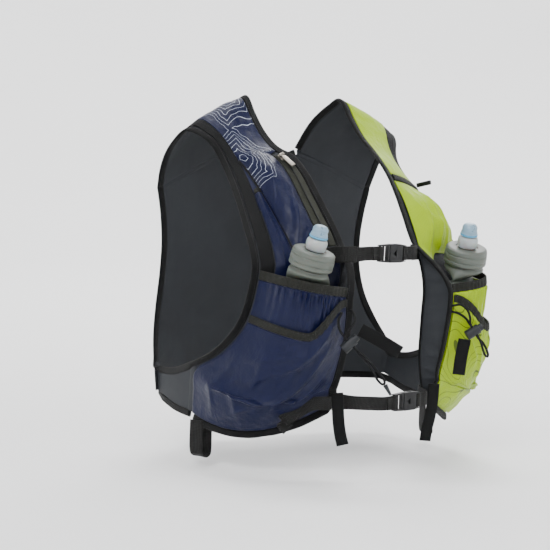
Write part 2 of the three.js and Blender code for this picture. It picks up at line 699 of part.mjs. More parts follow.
function addPouches() {
  const zipCorner = ZIP_TOP - 0.1;
  const pouchLines = [...rowsBetween(0.1, zipCorner - 0.4), ...rowsBetween(zipCorner, POUCH_END)];
  add('pouch_right', layer(-1, 6, pouchLines, {
    u: (s, v) => mix(neckSideOfPouch(v), flapEdge(v), s),
    inner: (u, v) => rightPouchHeight(u, v) - POCKET_CLOTH,
    outer: rightPouchHeight,
  }), 'shell_right');
  add('stretch_pocket_right', layer(-1, 4, rowsBetween(STRETCH_TOP, POUCH_END), {
    u: (s, v) => mix(flapEdge(v) + 0.012, MESH_START - 0.012, s),
    inner: (u, v) => stretchHeight(u, v) - POCKET_CLOTH,
    outer: stretchHeight,
  }), 'shell_right');
  const rim = [0, 0.25, 0.5, 0.75, 1].map((s) => {
    const v = STRETCH_TOP - (GAP + STRETCH_RIM_WIDTH / 2) / rowLength(STRETCH_TOP);
    const u = mix(flapEdge(v) + 0.03, MESH_START - 0.012, s);
    return {
      at: place(-1, onPanel(u, v, stretchHeight(u, STRETCH_TOP) - POCKET_CLOTH / 2)),
      side: place(-1, onPanel(u, v - 0.3).sub(onPanel(u, v + 0.3)).normalize()),
      up: place(-1, outward(v)),
    };
  });
  add('stretch_pocket_rim_right', strip(rim, flat(STRETCH_RIM_WIDTH, ELASTIC_THICKNESS)), 'elastic');

  const half = LEFT_ZIP_BAND_WIDTH / 2 / rowLength(LEFT_ZIP);
  const coverColumn = (s) => mix(ZIP_TAPE[0], MESH_START - 0.01, s);
  add('shoulder_cover_left', layer(1, 5, rowsBetween(0.1, LEFT_ZIP - half - 0.03), {
    u: coverColumn, inner: () => SEAT, outer: () => LAYER_TOP,
  }), 'shell_left');
  add('zip_band_left', layer(1, 5, rowsBetween(LEFT_ZIP - half, LEFT_ZIP + half), {
    u: coverColumn, inner: () => SEAT, outer: () => LAYER_TOP + 1,
  }), 'mesh');
  add('pouch_left', layer(1, 7, leftPouchLines(), {
    u: coverColumn,
    inner: (u, v) => leftPouchHeight(u, v) - POCKET_CLOTH,
    outer: leftPouchHeight,
  }), 'shell_left');
  const root = onPanel(0.74, LEFT_ZIP, LAYER_TOP + 1 + LEFT_PULL_WIDTH / 2 + GAP);
  const pullWay = vector(0.14, -0.95, 0.24).normalize();
  const pull = framesAlong([root, root.clone().addScaledVector(pullWay, LEFT_PULL_LENGTH)], () => vector(1, 0, 0));
  add('zip_puller_left', strip(pull(2), flat(LEFT_PULL_WIDTH, LEFT_PULL_THICKNESS)), 'plastic');
}

function addZip() {
  const tape = layer(-1, 2, rowsBetween(ZIP_TOP, ZIP_END), {
    u: (s) => mix(ZIP_TAPE[0], ZIP_TAPE[1], s), inner: () => SEAT, outer: () => LAYER_TOP,
  });
  const sliderV = ZIP_TOP + 0.25;
  const chainFrom = sliderV + (SLIDER_LENGTH / 2 + 2 * GAP) / rowLength(sliderV);
  const chainHeight = LAYER_TOP - 0.1 + CHAIN_THICKNESS / 2;
  const chain = rowsBetween(chainFrom, ZIP_END - 0.1).map((v) => ({
    at: place(-1, onPanel(ALONG_ZIP, v, chainHeight)),
    side: place(-1, across(v).normalize()),
    up: place(-1, outward(v)),
  }));
  add('zip_right', joined(tape, strip(chain, flat(CHAIN_WIDTH, CHAIN_THICKNESS))), 'elastic');

  const earGap = KNUCKLE_LENGTH + 2 * PULL_PIN_CLEARANCE;
  const pinHeight = SLIDER_THICKNESS / 2 + KNUCKLE_RADIUS + GAP;
  const earHeight = pinHeight - SLIDER_THICKNESS / 2 + KNUCKLE_RADIUS;
  const rod = (radius, length) => new THREE.CylinderGeometry(radius, radius, length, 8)
    .rotateZ(Math.PI / 2).translate(0, 0, pinHeight);
  let slider = toSolid(box(SLIDER_WIDTH, SLIDER_LENGTH, SLIDER_THICKNESS));
  for (const x of [-1, 1]) {
    const at = [x * (earGap + SLIDER_EAR) / 2, 0, SLIDER_THICKNESS / 2 + earHeight / 2 - 0.05];
    slider = slider.add(toSolid(box(SLIDER_EAR, 2 * KNUCKLE_RADIUS, earHeight + 0.1, at)));
  }
  slider = slider.add(toSolid(rod(PULL_PIN_DIAMETER / 2, earGap + SLIDER_EAR)));
  const sliderHeight = LAYER_TOP + 2 * GAP + SLIDER_THICKNESS / 2;
  const seat = panelBasis(-1, ALONG_ZIP, sliderV, sliderHeight);
  add('zip_slider_right', moved(fromSolid(slider), seat), 'metal');

  const neck = 2 * KNUCKLE_RADIUS;
  let pull = toSolid(rod(KNUCKLE_RADIUS, KNUCKLE_LENGTH));
  pull = pull.add(toSolid(box(KNUCKLE_LENGTH, neck, PULL_THICKNESS, [0, -neck / 2 - 0.2, pinHeight])));
  const plateAt = [0, -neck - (PULL_LENGTH - neck) / 2, pinHeight];
  pull = pull.add(toSolid(box(PULL_WIDTH, PULL_LENGTH - neck, PULL_THICKNESS, plateAt)));
  pull = pull.subtract(toSolid(rod(PULL_PIN_DIAMETER / 2 + PULL_PIN_CLEARANCE, KNUCKLE_LENGTH + 2)));
  add('zip_pull_right', moved(fromSolid(pull), seat), 'metal');
  const pin = vector(0, 0, pinHeight).applyMatrix4(seat);
  axes.zip_pull = { at: pin, way: vector(1, 0, 0).transformDirection(seat) };
}

// Soft flasks. A vessel is a wall between outer and inner rings, shut at the first ring.
function vessel(outer, inner) {
  const sides = outer[0].length;
  const rings = [...outer, ...inner.slice().reverse()];
  const points = rings.flat();
  const faces = [];
  for (let k = 0; k + 1 < rings.length; k += 1) {
    for (let i = 0; i < sides; i += 1) {
      const [a, b] = [k * sides + i, k * sides + ((i + 1) % sides)];
      faces.push([a, b, b + sides], [a, b + sides, a + sides]);
    }
  }
  const end = (rings.length - 1) * sides;
  for (let i = 1; i + 1 < sides; i += 1) {
    faces.push([0, i + 1, i], [end, end + i, end + i + 1]);
  }
  return solid(points, faces);
}

const FLASK_SIDES = 10;

function ring(centre, wide, deep, a, b, power) {
  return Array.from({ length: FLASK_SIDES }, (_, k) => {
    const angle = 2 * Math.PI * k / FLASK_SIDES;
    const bent = (value) => Math.sign(value) * Math.abs(value) ** (2 / power);
    return centre.clone().addScaledVector(wide, a * bent(Math.cos(angle)))
      .addScaledVector(deep, b * bent(Math.sin(angle)));
  });
}

// Half width and half depth of the filled part in shares, on rows of the panel
const flaskRows = table(
  ['v', 'wide', 'deep', 'power'],
  [
    [18.9, 0.4, 0.16, 2],
    [18.4, 0.72, 0.4, 2],
    [17.5, 0.9, 0.64, 2.1],
    [16.3, 0.97, 0.82, 2.1],
    [15, 1, 0.94, 2.1],
    [14.1, 0.87, 0.98, 2],
  ],
);
const FLASK_ACROSS = 0.44;
const CAP_ACROSS = 0.47;
const CAP_ROW = 12.8;
const FLASK_WAY = vector(-0.09, -0.25, 0.965).normalize();

function capCentre() {
  const tilt = CAP_HEIGHT / 2 * 0.27;
  return onPanel(CAP_ACROSS, CAP_ROW, LAYER_TOP + GAP + CAP_RADIUS + tilt);
}

function flaskFrame() {
  const wide = across(CAP_ROW).normalize();
  wide.addScaledVector(FLASK_WAY, -wide.dot(FLASK_WAY)).normalize();
  return { wide, deep: vector(0, 0, 0).crossVectors(wide, FLASK_WAY) };
}

function lathe(profile, sides) {
  const points = profile.map(([x, y]) => new THREE.Vector2(x, y));
  return new THREE.LatheGeometry([...points, points[0]], sides).rotateX(Math.PI / 2);
}

function addFlasks() {
  const { wide, deep } = flaskFrame();
  const seat = new THREE.Matrix4().makeBasis(wide, vector(0, 0, 0).crossVectors(FLASK_WAY, wide), FLASK_WAY)
    .setPosition(capCentre());
  const half = CAP_HEIGHT / 2;
  const hole = SPOUT_RADIUS - CAP_WALL;
  const inside = NECK_RADIUS + CAP_CLEARANCE;
  const capProfile = [
    [inside, -half], [CAP_RADIUS, -half], [CAP_RADIUS, half - 9], [CAP_RADIUS - 0.8, half - 8],
    [CAP_RADIUS - 0.8, half - 6], [CAP_RADIUS - 3.5, half - 2.5], [CAP_RADIUS - 9, half],
    [hole, half], [hole, half - CAP_WALL], [inside, half - CAP_WALL - 3],
  ];
  const spoutTop = half + GAP + SPOUT_HEIGHT;
  const valveTop = spoutTop + VALVE_HEIGHT;
  const bore = hole - CAP_WALL;
  const spoutProfile = [
    [bore, half + GAP], [SPOUT_RADIUS, half + GAP], [SPOUT_RADIUS, spoutTop - 2],
    [SPOUT_RADIUS + 0.8, spoutTop], [VALVE_RADIUS, spoutTop + 3], [VALVE_RADIUS - 1, valveTop],
    [bore - 2, valveTop], [bore - 2, spoutTop],
  ];
  for (const [side, name] of [[-1, 'right'], [1, 'left']]) {
    const rings = (inset) => [
      ...flaskRows.map(({ v, wide: w, deep: d, power }) => {
        const depth = FLASK_HALF_DEPTH * d;
        const centre = onPanel(FLASK_ACROSS, v, CLOTH + FLASK_CLEARANCE + depth);
        const [a, b] = [FLASK_HALF_WIDTH * w - inset, depth - inset];
        return ring(centre, across(v).normalize(), outward(v), a, b, power);
      }),
      ...[-half - 2.5, half - CAP_WALL - 5].map((along) => (
        ring(capCentre().addScaledVector(FLASK_WAY, along), wide, deep, NECK_RADIUS - inset, NECK_RADIUS - inset, 2))),
    ].map((points) => points.map((point) => place(side, point)));
    add(`flask_body_${name}`, vessel(rings(0), rings(FLASK_WALL)), 'flask');
    const mirrored = side < 0 ? new THREE.Matrix4().makeScale(-1, 1, 1).multiply(seat) : seat;
    add(`flask_cap_${name}`, moved(welded(lathe(capProfile, 14)), mirrored), 'flask');
    add(`flask_valve_${name}`, moved(welded(lathe(spoutProfile, 12)), mirrored), 'clear');
  }
  axes.flask_cap = { at: capCentre(), way: FLASK_WAY };
}

// The same solid with its shared vertices merged
function welded(geometry) {
  return fromSolid(toSolid(geometry));
}

// Frames of a band along chosen points; sideAt gives the way of its width at each of them
function bandFrames(points, sideAt) {
  const last = points.length - 1;
  return points.map((at, k) => {
    const along = points[Math.min(k + 1, last)].clone().sub(points[Math.max(k - 1, 0)]).normalize();
    const side = sideAt(k);
    side.addScaledVector(along, -side.dot(along)).normalize();
    return { at, side, up: vector(0, 0, 0).crossVectors(side, along) };
  });
}

const polygon = (points, thickness) => new THREE.ExtrudeGeometry(
  new THREE.Shape(points.map(([x, y]) => new THREE.Vector2(x, y))),
  { depth: thickness, bevelEnabled: false },
).translate(0, 0, -thickness / 2);

const mirroredY = (points) => points.map(([x, y]) => [x, -y]).reverse();

// A side-release buckle in its own frame: x along the strap, y across it, z out of it
const STRAP_SLOT = 3.2;
const FRAME_HALF = BUCKLE_WIDTH / 2 - BUCKLE_WALL;
const BUCKLE_END = BUCKLE_LENGTH / 2;
const BAR_AT = BUCKLE_END - 1.1;

function buckleFemale() {
  const mouth = LADDER_LENGTH + GAP - BUCKLE_END;
  const [half, end] = [BUCKLE_WIDTH / 2, BUCKLE_END];
  const outline = [
    [mouth, -half + 1], [mouth + 1, -half], [end - 8, -half], [end, -half + 1.4],
    [end, half - 1.4], [end - 8, half], [mouth + 1, half], [mouth, half - 1],
  ];
  const cavity = end - BUCKLE_BAR - STRAP_SLOT - 2.2 - mouth;
  const inside = BUCKLE_THICKNESS - 2 * BUCKLE_WALL;
  const [from, to] = LATCH_WINDOW;
  const arrow = [[from - 2.5, 0], [from + 3, -3.4], [from + 3, 3.4]];
  const hole = end - BUCKLE_BAR - STRAP_SLOT;
  const bar = box(BUCKLE_BAR, 2 * FRAME_HALF + 1, BUCKLE_BAR, [BAR_AT, 0, 0]);
  return toSolid(polygon(outline, BUCKLE_THICKNESS))
    .subtract(toSolid(box(cavity + 1, 2 * FRAME_HALF, inside, [mouth + cavity / 2 - 0.5, 0, 0])))
    .subtract(toSolid(box(to - from, BUCKLE_WIDTH + 2, inside, [(from + to) / 2, 0, 0])))
    .subtract(toSolid(polygon(arrow, BUCKLE_THICKNESS).translate(0, 0, BUCKLE_THICKNESS / 2)))
    .subtract(toSolid(box(end - hole + 1, 2 * FRAME_HALF - 1, 9, [(end + hole + 1) / 2, 0, 0])))
    .add(toSolid(bar));
}

function buckleMale() {
  const body = LADDER_LENGTH - BUCKLE_END;
  const half = BUCKLE_WIDTH / 2;
  const base = [[-BUCKLE_END, -half + 1], [body, -half], [body, half], [-BUCKLE_END, half - 1]];
  const opening = LADDER_LENGTH - 2.2;
  const prong = [
    [body - 1, 4.6], [1, 4.6], [8.6, 6.3], [7, 8], [LATCH_WINDOW[0] + 0.4, 9.6],
    [LATCH_WINDOW[0] + 0.4, 7.2], [body - 1, 7.2],
  ];
  const blade = BUCKLE_THICKNESS - 2 * BUCKLE_WALL - 0.8;
  const tongue = [[body - 1, -1.6], [7, -1.6], [8.4, 0], [7, 1.6], [body - 1, 1.6]];
  const bars = [BAR_AT, BAR_AT - BUCKLE_BAR - STRAP_SLOT].map((x) => (
    toSolid(box(BUCKLE_BAR, 2 * FRAME_HALF + 1, BUCKLE_BAR, [-x, 0, 0]))));
  const frame = toSolid(polygon(base, BUCKLE_THICKNESS - 1)).subtract(
    toSolid(box(opening + 1, 2 * FRAME_HALF - 1, 9, [-BUCKLE_END + opening / 2 - 0.5, 0, 0])),
  );
  return [...bars, ...[prong, mirroredY(prong), tongue].map((shape) => toSolid(polygon(shape, blade)))]
    .reduce((all, next) => all.add(next), frame);
}

// The end of a strap round a buckle's bar, in the buckle's frame, for the side of negative x
const strapLoop = [
  [-31, -0.95], [-21, -0.95], [-19.6, -1.7], [-18.2, -2.3], [-15.8, -2.3], [-14.8, -1.3],
  [-14.8, 1.3], [-15.8, 2.3], [-18.2, 2.3], [-19.6, 1.7], [-21, 0.95], [-27, 0.95],
];

function addBuckle(name, centre, tilt, strapEnds) {
  const x = tilt.clone().normalize();
  const z = vector(0, -1, 0).addScaledVector(x, x.y).normalize();
  const y = vector(0, 0, 0).crossVectors(z, x);
  const frame = new THREE.Matrix4().makeBasis(x, y, z).setPosition(centre);
  add(`${name}_buckle_male`, fromSolid(buckleMale()).applyMatrix4(frame), 'plastic');
  add(`${name}_buckle_female`, fromSolid(buckleFemale()).applyMatrix4(frame), 'plastic');
  for (const { side, strap, points, row, width } of strapEnds) {
    const loop = strapLoop.map(([a, b]) => vector(side * a, 0, b).applyMatrix4(frame));
    const path = [...points, ...loop];
    const rise = place(-side, onPanel(0.1, row - 0.3).sub(onPanel(0.1, row + 0.3)).normalize());
    const frames = bandFrames(path, (k) => rise.clone().lerp(y, smooth((k - 2) / (points.length - 2))));
    frames.forEach((one, k) => one.side.multiplyScalar(k < points.length ? width(k) : 1));
    add(strap, strip(frames, flat(WEBBING_WIDTH, WEBBING_THICKNESS)), 'webbing');
  }
}

function addStraps() {
  const right = (u, v, height) => place(-1, onPanel(u, v, height));
  addBuckle('sternum', vector(-2, -188, -156), vector(1, 0.02, -0.01), [
    {
      side: 1, strap: 'sternum_strap_right', row: 11.9,
      points: [
        right(0.34, 11.95, 4.6), right(0.2, 11.95, 5.4), vector(-67, -175.5, -157.5),
        vector(-60.8, -183.1, -156.8), vector(-49.5, -186.2, -156.6), vector(-48.5, -186.3, -156.6),
      ],
      width: (k) => (k < 5 ? ANCHOR_WIDTH / WEBBING_WIDTH : 1),
    },
    {
      side: -1, strap: 'sternum_strap_left', row: 11.75,
      points: [
        onPanel(0.16, 11.75, -2.4), onPanel(0.06, 11.75, -2.4), onPanel(-0.08, 11.75, -2.8),
        vector(41, -179, -156.5),
      ],
      width: () => 1,
    },
  ]);
  addBuckle('waist', vector(21, -196, -317), vector(1, 0.03, 0.03), [
    {
      side: 1, strap: 'waist_strap_right', row: 19.2,
      points: [
        right(0.12, 19.25, -2.4), vector(-70, -167.5, -315), vector(-60.5, -172.8, -314.5),
        vector(-55, -182, -315), vector(-43, -189.8, -315.8), vector(-26, -193, -317),
      ],
      width: () => 1,
    },
    {
      side: -1, strap: 'waist_strap_left', row: 19.2,
      points: [
        onPanel(0.12, 19.25, -2.4), vector(71, -167.5, -315), vector(61.5, -172, -314.5),
        vector(58.5, -181, -315), vector(56, -189.5, -315.5),
      ],
      width: () => 1,
    },
  ]);
}

// The hanging pieces are drawn for this size of vest. Each set moves whole with the cloth behind it:
// locks, cords and pull tabs with the pocket mouth, loops with the lower side.
const DRAWN_HALF_WIDTH = 170;
const DRAWN_REACH = 205;
const DRAWN_DROP = 351;
const mouthShare = vector(0.5, -0.82, -0.69);
const sideShare = vector(0.96, -0.35, -0.95);

function withCloth(share, side, point) {
  const grown = vector(
    CHEST_HALF_WIDTH - DRAWN_HALF_WIDTH,
    FRONT_REACH - DRAWN_REACH,
    VEST_DROP - DRAWN_DROP,
  );
  return point.clone().add(place(side, grown.multiply(share)));
}

const withPocket = (side, point) => withCloth(mouthShare, side, point);

// Bare tabs over the front binding, the free end of the waist strap and the loops at the sides
function addTabs() {
  const level = vector(1, 0, 0);
  const right = (u, v, height) => place(-1, onPanel(u, v, height));
  const addTab = (name, points, side, width, thickness, finish = 'webbing') => (
    add(name, strip(bandFrames(points, () => side.clone()), flat(width, thickness)), finish));
  addTab('label_tab_right', [
    vector(-70, -190.5, -303), vector(-69.5, -192, -318), vector(-69, -193.5, -332),
    vector(-68.3, -196, -345), vector(-67, -200, -358),
  ], vector(0.85, -0.5, 0), LABEL_TAB_WIDTH, LABEL_TAB_THICKNESS);
  addTab('label_tab_left', [
    vector(68, -188.1, -302), vector(68, -187.1, -322), vector(67.5, -184.5, -340),
    vector(66.5, -181.5, -354), vector(66, -180, -367),
  ], vector(0.9, -0.4, 0), LABEL_TAB_WIDTH, LABEL_TAB_THICKNESS);
  const overPocket = (u, v, lift) => right(u, v, frontPocketHeight(u, v) + lift);
  const tail = [[0.1, 19.1, 4.2], [0.19, 19.35, 4], [0.26, 19.6, 8.4]];
  const tailSides = [vector(0, 0, 1), ...tail.map(([u, v]) => overPocket(u, v - 0.3, 0).sub(overPocket(u, v + 0.3, 0)))];
  add('strap_tail_right', strip(bandFrames([
    vector(-77.8, -191, -313.5), ...tail.map(([u, v, lift]) => overPocket(u, v, lift)), vector(-116.5, -168.2, -343),
  ], (k) => tailSides[Math.min(k, 3)].clone()), flat(WEBBING_WIDTH - 1, WEBBING_THICKNESS)), 'webbing');
  for (const [side, name] of [[-1, 'right'], [1, 'left']]) {
    addTab(`side_loop_${name}`, [
      vector(167, -71, -345.5), vector(167, -72, -377), vector(165.6, -72.5, -382),
      vector(161.4, -73, -384.5), vector(156.8, -72.5, -382), vector(155.6, -72, -377), vector(155.4, -71, -346),
    ].map((point) => withCloth(sideShare, side, place(side, point))), vector(side * -0.3, -0.95, 0), SIDE_LOOP_WIDTH, WEBBING_THICKNESS);
  }
}

// Cords that tighten the pocket mouths, each led double through a spring lock
const LOCKS = {
  right: {
    centre: withPocket(-1, vector(-84, -226, -244.6)), way: vector(0.61, -0.355, 0.71), hole: vector(0.58, -0.41, -0.7),
  },
  left: {
    centre: withPocket(1, vector(92, -222.8, -239.9)), way: vector(0.75, -0.38, 0.54), hole: vector(0.397, -0.397, -0.829),
  },
};

function lockFrame({ centre, way, hole }) {
  const z = way.clone().normalize();
  const y = hole.clone().addScaledVector(z, -hole.dot(z)).normalize();
  const x = vector(0, 0, 0).crossVectors(y, z);
  return new THREE.Matrix4().makeBasis(x, y, z).setPosition(centre);
}

function addLocks() {
  const rod = (radius, from, to, sides) => toSolid(
    new THREE.CylinderGeometry(radius, radius, to - from, sides).rotateX(Math.PI / 2).translate(0, 0, (from + to) / 2),
  );
  const low = -LOCK_LENGTH / 2;
  const high = LOCK_LENGTH / 2;
  const inside = LOCK_RADIUS - LOCK_WALL;
  const slot = (from, to) => toSolid(box(CORD_SLOT_WIDTH, 20, to - from, [0, 0, (from + to) / 2]));
  const half = CORD_SLOT_HEIGHT / 2;
  const barrel = rod(LOCK_RADIUS, low, high - BUTTON_STANDOUT, 12)
    .subtract(rod(inside, low + LOCK_FLOOR, high, 12)).subtract(slot(-half, half));
  const button = rod(inside - LOCK_CLEARANCE, low + LOCK_FLOOR + LOCK_TRAVEL + GAP, high, 12)
    .subtract(slot(-half, half + LOCK_TRAVEL + GAP));
  for (const [name, lock] of Object.entries(LOCKS)) {
    const frame = lockFrame(lock);
    add(`cord_lock_barrel_${name}`, fromSolid(barrel).applyMatrix4(frame), 'plastic');
    add(`cord_lock_button_${name}`, fromSolid(button).applyMatrix4(frame), 'plastic');
    axes[`cord_lock_${name}`] = { at: lock.centre, way: lock.way.clone().normalize().negate() };
  }
}

function addCord(name, side, points, steps) {
  const round = new THREE.Shape(Array.from({ length: CORD_SIDES }, (_, k) => new THREE.Vector2(
    Math.cos(2 * Math.PI * k / CORD_SIDES), Math.sin(2 * Math.PI * k / CORD_SIDES),
  ).multiplyScalar(CORD_DIAMETER / 2)));
  const line = points.map((point) => withPocket(side, vector(...point)));
  const path = new THREE.CatmullRomCurve3(line, false, 'centripetal');
  add(name, new THREE.ExtrudeGeometry(round, { steps, bevelEnabled: false, extrudePath: path }), 'cord');
}

function addCords() {
  addCord('cord_right', -1, [
    [-72, -208.5, -213], [-75, -215.5, -212.5], [-78.5, -223.5, -215.5], [-81.5, -228.5, -222],
    [-87, -227.5, -231], [-90, -223.5, -238.2], [-87.4, -225.4, -241.4], [-82.2, -229.1, -247.7],
    [-79.5, -230.9, -250.9], [-75.5, -235.5, -255], [-71, -242.5, -262], [-65.5, -249.5, -271.5],
    [-61, -254.5, -279], [-61.5, -257.5, -283], [-65, -258, -284], [-68, -254.5, -280.5],
    [-70, -248, -272], [-73.6, -240.5, -262.8], [-76.6, -232.8, -255.8], [-78, -228.5, -251],
    [-80.6, -226.6, -247.8], [-85.8, -222.9, -241.5], [-88.4, -221.1, -238.3], [-91.5, -217, -231.5],
    [-90, -212.5, -222.5], [-84, -209.8, -214.5],
  ], 46);
  addCord('cord_left', 1, [
    [71.8, -207.6, -213], [78, -214.5, -211.5], [82.5, -220.5, -217], [85.5, -222, -225],
    [87.7, -220.5, -232.2], [89.4, -222.2, -236], [93, -225.8, -243.4], [94.8, -227.6, -247.1],
    [96.5, -230, -253], [97.6, -232.4, -260], [99, -234.2, -265], [102.4, -234.6, -267],
    [105, -232.6, -264.5], [103.8, -229.8, -258], [100.4, -227.4, -251.8], [96.3, -225.2, -247.6],
    [94.6, -223.4, -243.9], [91, -219.8, -236.4], [89.2, -218, -232.7], [86.5, -214.5, -227],
    [80, -210.5, -222], [72, -207, -219.5],
  ], 32);
}

function addPullTabs() {
  const plate = flat(PULL_TAB_WIDTH, PULL_TAB_THICKNESS);
  add('pull_tab_right', strip(bandFrames([
    vector(-76, -231.5, -230), vector(-66, -240, -236.5), vector(-55, -249.5, -244), vector(-44, -259, -252),
  ].map((point) => withPocket(-1, point)), () => vector(0.4, -0.3, 0.87)), plate), 'binding');
  add('pull_tab_left', strip(bandFrames([
    vector(84.2, -216.6, -249.4), vector(82.5, -214, -270), vector(82, -212, -289),
  ].map((point) => withPocket(1, point)), () => vector(0.85, -0.53, 0)), plate), 'binding');
  const way = vector(3, -2, -6).normalize();
  const taper = new THREE.CylinderGeometry(CORD_END_RADIUS, CORD_END_RADIUS * 0.55, CORD_END_LENGTH, 8)
    .applyQuaternion(new THREE.Quaternion().setFromUnitVectors(vector(0, -1, 0), way));
  const at = withPocket(-1, vector(-63, -260.3, -284.6)).addScaledVector(way, CORD_END_LENGTH / 2);
  add('cord_end_right', welded(taper.translate(at.x, at.y, at.z)), 'plastic');
}

const axes = {};
addBase();
addBindings();
addBottlePockets();
addPouches();
addZip();
addFlasks();
addStraps();
addTabs();
addLocks();
addCords();
addPullTabs();
vest.userData.axes = axes;

export default vest;
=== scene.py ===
"""Running hydration vest in worn form: cloth, trim, straps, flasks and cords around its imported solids."""

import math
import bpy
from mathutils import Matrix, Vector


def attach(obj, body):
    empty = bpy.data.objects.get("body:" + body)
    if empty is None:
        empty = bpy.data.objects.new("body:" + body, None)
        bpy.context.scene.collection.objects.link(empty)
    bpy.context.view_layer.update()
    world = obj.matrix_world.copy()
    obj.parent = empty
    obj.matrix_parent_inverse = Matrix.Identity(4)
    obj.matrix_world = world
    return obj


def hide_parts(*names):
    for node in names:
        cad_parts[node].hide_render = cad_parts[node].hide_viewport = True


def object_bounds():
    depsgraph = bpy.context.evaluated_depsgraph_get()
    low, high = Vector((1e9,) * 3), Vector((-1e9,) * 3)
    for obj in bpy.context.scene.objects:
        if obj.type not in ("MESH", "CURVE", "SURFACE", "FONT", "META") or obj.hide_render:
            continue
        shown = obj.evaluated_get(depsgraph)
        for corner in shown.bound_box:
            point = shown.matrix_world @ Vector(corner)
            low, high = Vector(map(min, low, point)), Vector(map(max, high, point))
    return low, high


bl_info = {
    "name": "Running hydration vest",
    "version": (1, 0, 0),
    "blender": (4, 5, 0),
    "location": "View3D > Sidebar > Vest",
    "description": "Builds a running vest with bottle pockets, chest pouches, buckled straps and drawcords",
    "category": "Object",
}

import bmesh
import bpy
import numpy as np
from mathutils import Matrix, Vector

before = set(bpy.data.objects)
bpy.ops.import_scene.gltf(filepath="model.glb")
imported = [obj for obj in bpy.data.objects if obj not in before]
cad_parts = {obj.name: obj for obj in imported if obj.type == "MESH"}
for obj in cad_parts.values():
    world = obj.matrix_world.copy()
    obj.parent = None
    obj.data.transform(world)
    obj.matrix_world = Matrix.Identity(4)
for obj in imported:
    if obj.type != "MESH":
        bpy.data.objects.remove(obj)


def plain_box():
    low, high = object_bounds()
    return [[float(x) for x in low], [float(x) for x in high]]


CAD_BOX = plain_box()
MM = 0.001
BODY = "vest"

# Sizes, in millimetres
CHEST_HALF_WIDTH = 170
FRONT_REACH = 205
BACK_REACH = 58
VEST_DROP = 351
GAP = 0.3
LAYER_GAP = 1.4
CLOTH = 1.6
POCKET_CLOTH = 1.2
BINDING_WIDTH = 5.6
BINDING_THICKNESS = 4.0
BOTTLE_POCKET_DEPTH = 50
FRONT_POCKET_SLACK = 5
UPPER_BAND_HEIGHT = 10
LOWER_BAND_HEIGHT = 8.5
ELASTIC_THICKNESS = 1.6
RIGHT_POUCH_DEPTH = 11
LEFT_POUCH_DEPTH = 15
STRETCH_POCKET_DEPTH = 4
STRETCH_RIM_WIDTH = 6
LEFT_ZIP_BAND_WIDTH = 9
WEBBING_WIDTH = 15
WEBBING_THICKNESS = 1.6
ANCHOR_WIDTH = 17.5
SEAT = CLOTH + GAP
LAYER_TOP = SEAT + POCKET_CLOTH
MOUTH = 14
HEM = 20
MESH_START = 0.82
ZIP_TOP, ZIP_END, POUCH_END = 6.7, 11.45, 13.6
ZIP_TAPE = (0.02, 0.2)
STRETCH_TOP = 8.45
LEFT_ZIP = 8.15
GUSSET_FROM, GUSSET_TO, GUSSET_INSET = 11.5, HEM - 0.55, 0.9


class VestSizes(bpy.types.PropertyGroup):
    stitch_pitch: bpy.props.FloatProperty(
        name="Stitch pitch", description="Distance from one stitch to the next", default=0.0026,
        unit="LENGTH", min=0.001)
    stitch_length: bpy.props.FloatProperty(
        name="Stitch length", description="Length of one stitch", default=0.0019, unit="LENGTH", min=0.0005)
    crease_depth: bpy.props.FloatProperty(
        name="Crease depth", description="Share of the usual depth of the cloth's folds", default=1.0,
        min=0.0, max=2.0, subtype="FACTOR")
    cord_diameter: bpy.props.FloatProperty(
        name="Cord diameter", description="Thickness of the drawcords", default=0.0026, unit="LENGTH")
    cyclorama: bpy.props.FloatProperty(
        name="Backdrop radius", description="Distance from the vest to the backdrop", default=3.0,
        unit="LENGTH")


class VestColours(bpy.types.PropertyGroup):
    right_shell: bpy.props.FloatVectorProperty(
        name="Right shell", description="Cloth of the wearer's right side", subtype="COLOR",
        default=(0.0026, 0.0046, 0.026), min=0, max=1)
    left_shell: bpy.props.FloatVectorProperty(
        name="Left shell", description="Cloth of the wearer's left side", subtype="COLOR",
        default=(0.25, 0.37, 0.0), min=0, max=1)
    trim: bpy.props.FloatVectorProperty(
        name="Trim", description="Bindings and mesh", subtype="COLOR", default=(0.0018, 0.0019, 0.0022),
        min=0, max=1)
    elastic: bpy.props.FloatVectorProperty(
        name="Elastic", description="Bands at the pocket mouths", subtype="COLOR",
        default=(0.012, 0.0125, 0.010), min=0, max=1)
    webbing: bpy.props.FloatVectorProperty(
        name="Webbing", description="Chest and waist straps", subtype="COLOR",
        default=(0.0085, 0.0085, 0.0082), min=0, max=1)
    flask: bpy.props.FloatVectorProperty(
        name="Flask", description="Caps and bodies of the flasks", subtype="COLOR",
        default=(0.078, 0.09, 0.075), min=0, max=1)


def sizes():
    return bpy.context.scene.vest_sizes


def colours():
    return bpy.context.scene.vest_colours


# Form of the vest
def table(columns, rows):
    return {name: np.array([row[i] for row in rows], float) for i, name in enumerate(columns)}


def read(rows, column, v):
    """Smooth reading of one column of a table at fractional rows."""
    values = rows[column]
    v = np.asarray(v, float)
    last = len(values) - 1
    i = np.clip(np.floor(v), 0, last - 1).astype(int)
    t = v - i
    a, b, c, d = (values[np.clip(i + k, 0, last)] for k in (-1, 0, 1, 2))
    return b + 0.5 * t * (c - a + t * (2 * a - 5 * b + 4 * c - d + t * (3 * (b - c) + d - a)))


def mix(a, b, t):
    return a + (b - a) * t


def clamp(t):
    return np.clip(t, 0, 1)


def smooth(t):
    t = clamp(t)
    return t * t * (3 - 2 * t)


def arch(t):
    return np.sin(np.pi * clamp(t))


def unit(a):
    return a / np.maximum(np.linalg.norm(a, axis=-1, keepdims=True), 1e-12)


